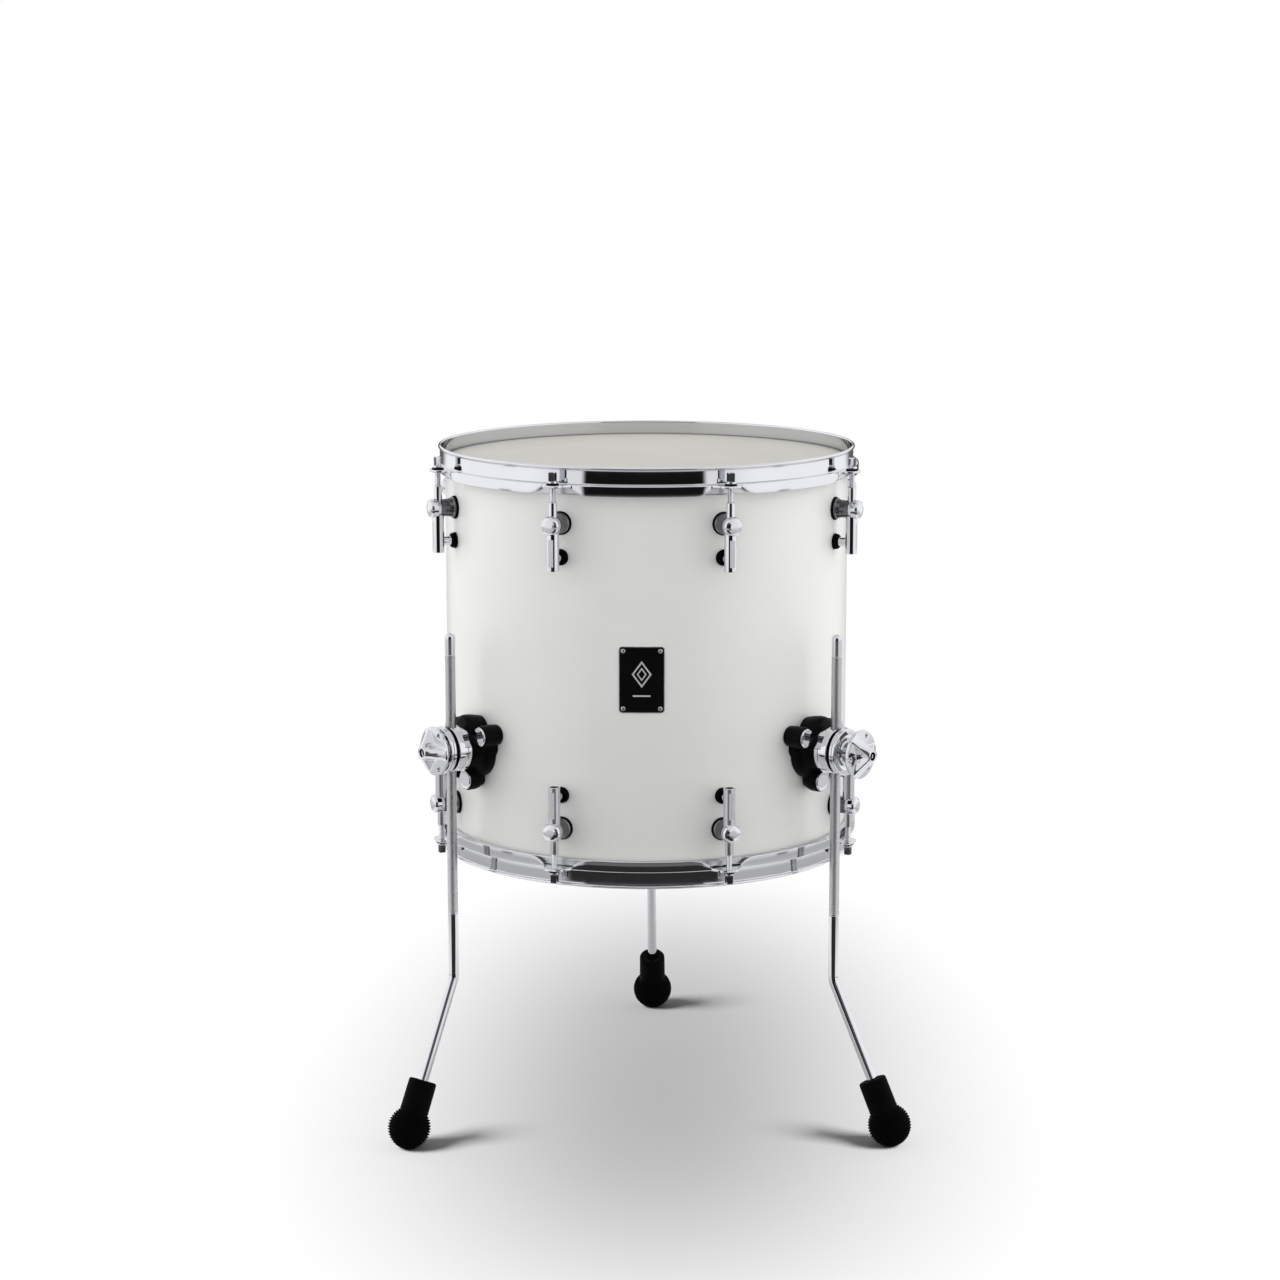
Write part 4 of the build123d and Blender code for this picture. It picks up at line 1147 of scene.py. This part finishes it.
def leg_stations():
    """Down the rod: distance out, height, direction (out, up), radius."""
    heights = [(LEG_TOP - 4.4 * (1 - cos(a)), LEG_ROD_R * sin(a))
               for a in np.linspace(0, pi / 2, 12)]
    heights.append((LEG_TOP - 6.0, LEG_ROD_R))
    heights += shifted(SATIN_TOP, [
        (3.0, LEG_ROD_R), (1.3, LEG_ROD_R), (0.9, GROOVE_R), (0.2, GROOVE_R), (-0.2, SATIN_R)])
    heights += [(h, SATIN_R) for h in np.linspace(SATIN_TOP - 8, SATIN_LOW + 8, 12)]
    heights += shifted(SATIN_LOW, [
        (0.2, SATIN_R), (-0.2, GROOVE_R), (-0.9, GROOVE_R), (-1.3, LEG_ROD_R)])
    bend = atan2(slope_out, -slope_z)
    run = BEND_R * tan(bend / 2)               # from the corner to the start of the bend
    heights += [(h, LEG_ROD_R) for h in np.linspace(SATIN_LOW - 10, BEND_Z + run, 6)]
    stations = [(LEG_R, h, (0, -1), r) for h, r in heights]
    for k in range(1, 15):
        a = bend * k / 14
        stations.append((LEG_R + BEND_R * (1 - cos(a)), BEND_Z + run - BEND_R * sin(a),
                         (sin(a), -cos(a)), LEG_ROD_R))
    end = slope_length - 10.0
    slope = [(q, LEG_ROD_R) for q in np.linspace(run + 8, end, 8)] + [(end, 0.0)]
    for q, r in slope:
        stations.append((LEG_R + slope_out * q, BEND_Z + slope_z * q, (slope_out, slope_z), r))
    return stations


def leg():
    """A bent rod at the front; its knurled stretch is in slot 1."""
    segments, stations = 48, leg_stations()
    piece, rings, x_axis = Piece(), [], Vector((1, 0, 0))
    for out, z, (run_out, run_z), radius in stations:
        centre = Vector((0, -out, z))
        if radius == 0:
            rings.append(piece.ring([centre]) * segments)
            continue
        y_axis = Vector((0, -run_out, run_z)).cross(x_axis)
        rings.append(piece.ring(circle(centre, x_axis, y_axis, [radius] * segments)))
    slots = [1 if a[3] == b[3] == SATIN_R else 0 for a, b in zip(stations, stations[1:])]
    return piece.join(rings, slots)


def foot():
    """A rubber ball with ribs and cross grooves, its neck round the leg, flat on the floor."""
    segments, cross_grooves, ribs = 264, 44, 23
    up = Vector((0, slope_out, -slope_z))      # up the leg
    origin = Vector((0, -FOOT_R, BALL_Z))
    x_axis = Vector((1, 0, 0))
    y_axis = up.cross(x_axis)
    piece = Piece()
    rings = [piece.ring([origin + up * -BALL_R]) * segments]
    last = asin(BALL_TOP / BALL_R)
    for a in np.linspace(-pi / 2, last, 112)[1:]:
        band = cos(2 * pi * (a + pi / 2) / (pi / ribs))
        fade = min(1.0, BALL_R * cos(a) / 7.0) * min(1.0, (last - a) / 0.12 + 0.15)
        ridge = max(0.0, min(1.0, (band + 0.35) / 0.9))
        points = []
        for t in turns(segments):
            notch = max(0.0, min(1.0, (cos(cross_grooves * t) + 0.75) / 0.5))
            r = BALL_R - fade * (1.55 * (1 - ridge) + 0.55 * ridge * (1 - notch))
            points.append(origin + up * (r * sin(a)) + x_axis * (r * cos(a) * cos(t))
                          + y_axis * (r * cos(a) * sin(t)))
        rings.append(piece.ring(points))
    for along, radius in NECK:
        rings.append(piece.ring(circle(origin + up * along, x_axis, y_axis,
                                       [radius] * segments)))
    rings.append(piece.ring([origin + up * 42.0]) * segments)
    piece.join(rings)
    piece.vertices = [(x, y, max(z, 0.02)) for x, y, z in piece.vertices]
    return piece


def leg_place(side):
    """From the front to this leg, turned so that its foot is where the frame has it."""
    mount = next(m["pos_m"] for m in frame["record"]["mounts"] if m["name"] == f"foot_{side}")
    x, y = LEG_POINTS[side][0] / MM, LEG_POINTS[side][1] / MM
    away = angle_of((mount[0] / MM - x, mount[1] / MM - y))
    return (Matrix.Translation((x, y, 0)) @ Matrix.Rotation(radians(away), 4, "Z")
            @ Matrix.Translation((0, LEG_R, 0)))


def unwrap_rod(mesh, centre):
    """UV: turns round the rod and height, in diamonds of the knurl, with no seam in a face."""
    uv = mesh.uv_layers.new(name="rod")
    for polygon in mesh.polygons:
        first = None
        for loop in polygon.loop_indices:
            point = mesh.vertices[mesh.loops[loop].vertex_index].co
            t = atan2(point.y - centre[1], point.x - centre[0]) / (2 * pi)
            first = t if first is None else first
            if t - first > 0.5:
                t -= 1
            if first - t > 0.5:
                t += 1
            uv.data[loop].uv = (t * KNURL_TURNS, point.z / (ROD_GIRTH / KNURL_TURNS))


leg_piece, foot_piece = leg(), foot()
for side in SIDES:
    place = [leg_place(side)]
    rod_obj = make(f"leg_{side}_rod", copied(leg_piece, place), [CHROME, KNURL], f"leg_{side}",
                   f"leg_{side}", "leg_steel")
    unwrap_rod(rod_obj.data, LEG_POINTS[side])
    make(f"foot_{side}_ribbed", copied(foot_piece, place), [RUBBER], f"leg_{side}",
         f"foot_{side}", "black_rubber", sharp=50, even=False)

# ---------------------------------------------------------------- small parts that stay as CAD
keep_shape(("lug_screws", "lug_washers", "bracket_screws", "bracket_washers"), STEEL, sharp=30)
keep_shape([f"leg_bush_{s}" for s in SIDES], NYLON, sharp=30)


# ---------------------------------------------------------------- floor, in metres
FLOOR_R, FLOOR_Z, FLOOR_RINGS, FLOOR_SEGMENTS = 1.42, -0.0004, 14, 96
WHITE = (1, 1, 1, 1)


def floor_parts():
    """A disc in two parts, so that each can have its own light."""
    points, faces = [(0.0, 0.0, FLOOR_Z)], []
    for i in range(1, FLOOR_RINGS + 1):
        radius = FLOOR_R * i / FLOOR_RINGS
        points += [(radius * cos(t), radius * sin(t), FLOOR_Z) for t in turns(FLOOR_SEGMENTS)]
    for k in range(FLOOR_SEGMENTS):
        after = (k + 1) % FLOOR_SEGMENTS
        faces.append((0, 1 + k, 1 + after))
        for i in range(FLOOR_RINGS - 1):
            near, far = 1 + i * FLOOR_SEGMENTS, 1 + (i + 1) * FLOOR_SEGMENTS
            faces.append((near + k, far + k, far + after, near + after))

    def on_left(face):
        """The left half, and a stretch of the right half behind the drum's middle."""
        x, y = (sum(points[q][axis] for q in face) / len(face) for axis in (0, 1))
        return x < 0 or (y > 0.12 and x < 0.45)

    parts = []
    for side in ("left", "right"):
        kept = [face for face in faces if on_left(face) == (side == "left")]
        used = sorted({q for face in kept for q in face})
        index = {q: i for i, q in enumerate(used)}
        mesh = bpy.data.meshes.new(f"floor_{side}")
        mesh.from_pydata([points[q] for q in used], [],
                         [tuple(index[q] for q in face) for face in kept])
        parts.append(bpy.data.objects.new(f"floor_{side}", mesh))
        bpy.context.scene.collection.objects.link(parts[-1])
    return parts


def floor_paper():
    """Pale paper that runs out to white, with a soft grey pool of painted shadow under the drum."""
    material, shader = new_material("floor_paper")
    math, times, ease = shader.math, shader.times, shader.ease
    coords = shader.coords()
    place = shader.split(coords)
    x, y = place["X"], place["Y"]

    # the painted shadow's half-widths: across, longer to the back, shorter to the front
    across = math("POWER", times(math("SUBTRACT", x, 0.017), 1 / 0.19), 2.0)
    behind = math("POWER", times(math("MAXIMUM", y, 0.0), 1 / 0.62), 2.9)
    before = math("POWER", times(math("MAXIMUM", times(y, -1.0), 0.0), 1 / 0.484), 2.9)
    total = math("ADD", across, math("ADD", behind, before))
    painted_shadow_pool = math("EXPONENT", times(total, -0.5))
    shader.surface({
        # the base colour is darker under the drum: painted shadow
        "Base Color": shader.tint(painted_shadow_pool, dark=(0.27, 0.27, 0.27), light=(0.1275, 0.1275, 0.1275),
                                  over=(0.0, 1.0)),
        "Roughness": 1.0,
        "Specular IOR Level": 0.0,
    })

    # the rim is white to the camera, so that no edge shows
    rim = ease(shader.length(coords), over=(0.75, 1.30), to=(0.0, 1.0))
    ray = shader.node("LightPath", {}).outputs
    rim_strength = ease(ray["Is Camera Ray"], over=(0.0, 1.0), to=(0.55, 1.0))
    paper = shader.mix_shader(rim, shader.tree.nodes["Principled BSDF"].outputs["BSDF"],
                              shader.glow("Emission", WHITE, rim_strength))

    # in reflections the part in front belongs to the dark room; dull surfaces see it dimmed
    fan = math("ABSOLUTE", math("ARCTAN2", x, math("SUBTRACT", 0.10, y)))
    front = times(ease(fan, over=(0.60, 0.72), to=(1.0, 0.0)),
                  ease(y, over=(-0.62, -0.45), to=(1.0, 0.0)))
    dark_part = math("MAXIMUM", times(front, ray["Is Glossy Ray"]),
                     times(ray["Is Diffuse Ray"], ease(fan, over=(0.7, 1.3), to=(0.90, 0.35))))
    night = shader.glow("Emission", WHITE, strength=0.03)
    shader.fill(shader.tree.nodes["Material Output"],
                {"Surface": shader.mix_shader(dark_part, paper, night)})
    return material


floors = floor_parts()
paper_material = floor_paper()
for part in floors:
    part.data.materials.append(paper_material)


# ---------------------------------------------------------------- studio
# Strengths of the surroundings: dark gaps, straight up, and what lights dull surfaces.
DARK_LEVEL, ZENITH = 0.008, 0.86
FRONT, SIDE, BACK = 0.80, 1.75, 0.95


def studio():
    """White to the camera; to all else bright, with dark gaps in front of and behind the drum."""
    world = bpy.data.worlds.new("studio")
    bpy.context.scene.world = world
    shader = Shader(world)
    shader.tree.nodes.clear()
    math, times, ease = shader.math, shader.times, shader.ease
    ray = shader.node("LightPath", {}).outputs
    direction = shader.split(shader.coords("Generated"))
    z = direction["Z"]
    # angle away from -Y, the camera's side, in radians
    around = math("ABSOLUTE", math("ARCTAN2", direction["X"], times(direction["Y"], -1.0)))

    def blend(source, other, share):
        return math("ADD", times(source, math("SUBTRACT", 1.0, share)), times(share, other))

    # the bright level all round, with a narrow dip at the sides below the horizon
    level = ease(around, over=(0.72, 1.15), to=(0.98, 1.16))
    level = times(level, ease(around, over=(2.3, 2.8), to=(1.0, 0.85)))
    from_side = math("ABSOLUTE", math("SUBTRACT", around, 1.40))
    dip = math("MAXIMUM", ease(from_side, over=(0.03, 0.10), to=(0.45, 1.0)),
               ease(z, over=(-0.17, -0.14), to=(0.0, 1.0)))
    level = times(level, dip)
    level = times(level, ease(z, over=(-0.20, -0.14), to=(0.66, 1.0)))

    # dark: the room behind the camera below the horizon, a narrower strip above it,
    # and the far end behind the drum
    wide = ease(math("SUBTRACT", around, 0.58), over=(-0.03, 0.03), to=(1.0, 0.0))
    room = times(wide, times(ease(z, over=(0.01, 0.05), to=(1.0, 0.0)),
                             ease(z, over=(-0.34, -0.26), to=(0.0, 1.0))))
    strip = times(ease(around, over=(0.46, 0.54), to=(0.90, 0.0)),
                  times(ease(z, over=(0.0, 0.03), to=(0.0, 1.0)),
                        ease(z, over=(0.42, 0.55), to=(1.0, 0.0))))
    far = times(ease(around, over=(2.50, 2.75), to=(0.0, 0.88)),
                times(ease(z, over=(-0.34, -0.26), to=(0.0, 1.0)),
                      ease(z, over=(0.09, 0.15), to=(1.0, 0.0))))
    night = math("MAXIMUM", room, math("MAXIMUM", strip, far))
    dim = ease(z, over=(-0.19, -0.15), to=(0.17, DARK_LEVEL))
    shiny = blend(level, dim, night)

    # dull surfaces are lit without the dark gaps
    plain = ease(around, over=(0.72, 1.15), to=(FRONT, SIDE))
    plain = times(plain, ease(around, over=(2.3, 2.8), to=(1.0, BACK / SIDE)))

    up = ease(z, over=(0.62, 0.80), to=(0.0, 1.0))
    is_dull = ray["Is Diffuse Ray"]
    strength = math("ADD",
                    times(blend(shiny, ZENITH, up), math("SUBTRACT", 1.0, is_dull)),
                    times(blend(plain, ZENITH, up), is_dull))
    room_light = shader.glow("Background", (0.985, 0.985, 1.0, 1), strength)
    white = shader.glow("Background", WHITE, strength=1.0)
    shader.node("OutputWorld", {
        "Surface": shader.mix_shader(ray["Is Camera Ray"], room_light, white)})


studio()

# ---------------------------------------------------------------- lights
# A broad sun from either side lights its own part of the floor, shadowed only by some feet.
KEY_POWER, KEY_SPREAD = 14.8, radians(30)
for name, part, place, sides in (
        ("key_left", floors[0], (-1.9, -0.95, 1.75), ("front_left", "rear")),
        ("key_right", floors[1], (1.9, -0.95, 1.75), ("front_right",))):
    receivers = bpy.data.collections.new(name + "_lights")
    receivers.objects.link(part)
    blockers = bpy.data.collections.new(name + "_shadows")
    for side in sides:
        blockers.objects.link(bpy.data.objects[f"foot_{side}_ribbed"])
    sun = bpy.data.lights.new(name, "SUN")
    sun.energy, sun.angle = KEY_POWER, KEY_SPREAD
    key = bpy.data.objects.new(name, sun)
    bpy.context.scene.collection.objects.link(key)
    key.location = place
    key.rotation_mode = "QUATERNION"
    key.rotation_quaternion = (-Vector(place)).to_track_quat("-Z", "Y")
    key.light_linking.receiver_collection = receivers
    key.light_linking.blocker_collection = blockers

# ---------------------------------------------------------------- camera
# Distance from the drum's axis and height in metres, tilt down, turn round the drum.
DIST, HEIGHT, PITCH, TURN = 3.204, 1.0465, radians(10.11), radians(1.3)
lens = bpy.data.cameras.new("camera")
camera = bpy.data.objects.new("camera", lens)
bpy.context.scene.collection.objects.link(camera)
bpy.context.scene.camera = camera
lens.sensor_width = 36.0
lens.lens = 89.95
lens.shift_x = -0.0051
lens.clip_end = 100
camera.location = (DIST * sin(TURN), -DIST * cos(TURN), HEIGHT)
camera.rotation_mode = "XYZ"
camera.rotation_euler = (pi / 2 - PITCH, 0, TURN)

view = bpy.context.scene.view_settings
view.view_transform = "Standard"
view.look = "None"
view.exposure = 0.0
view.gamma = 1.0
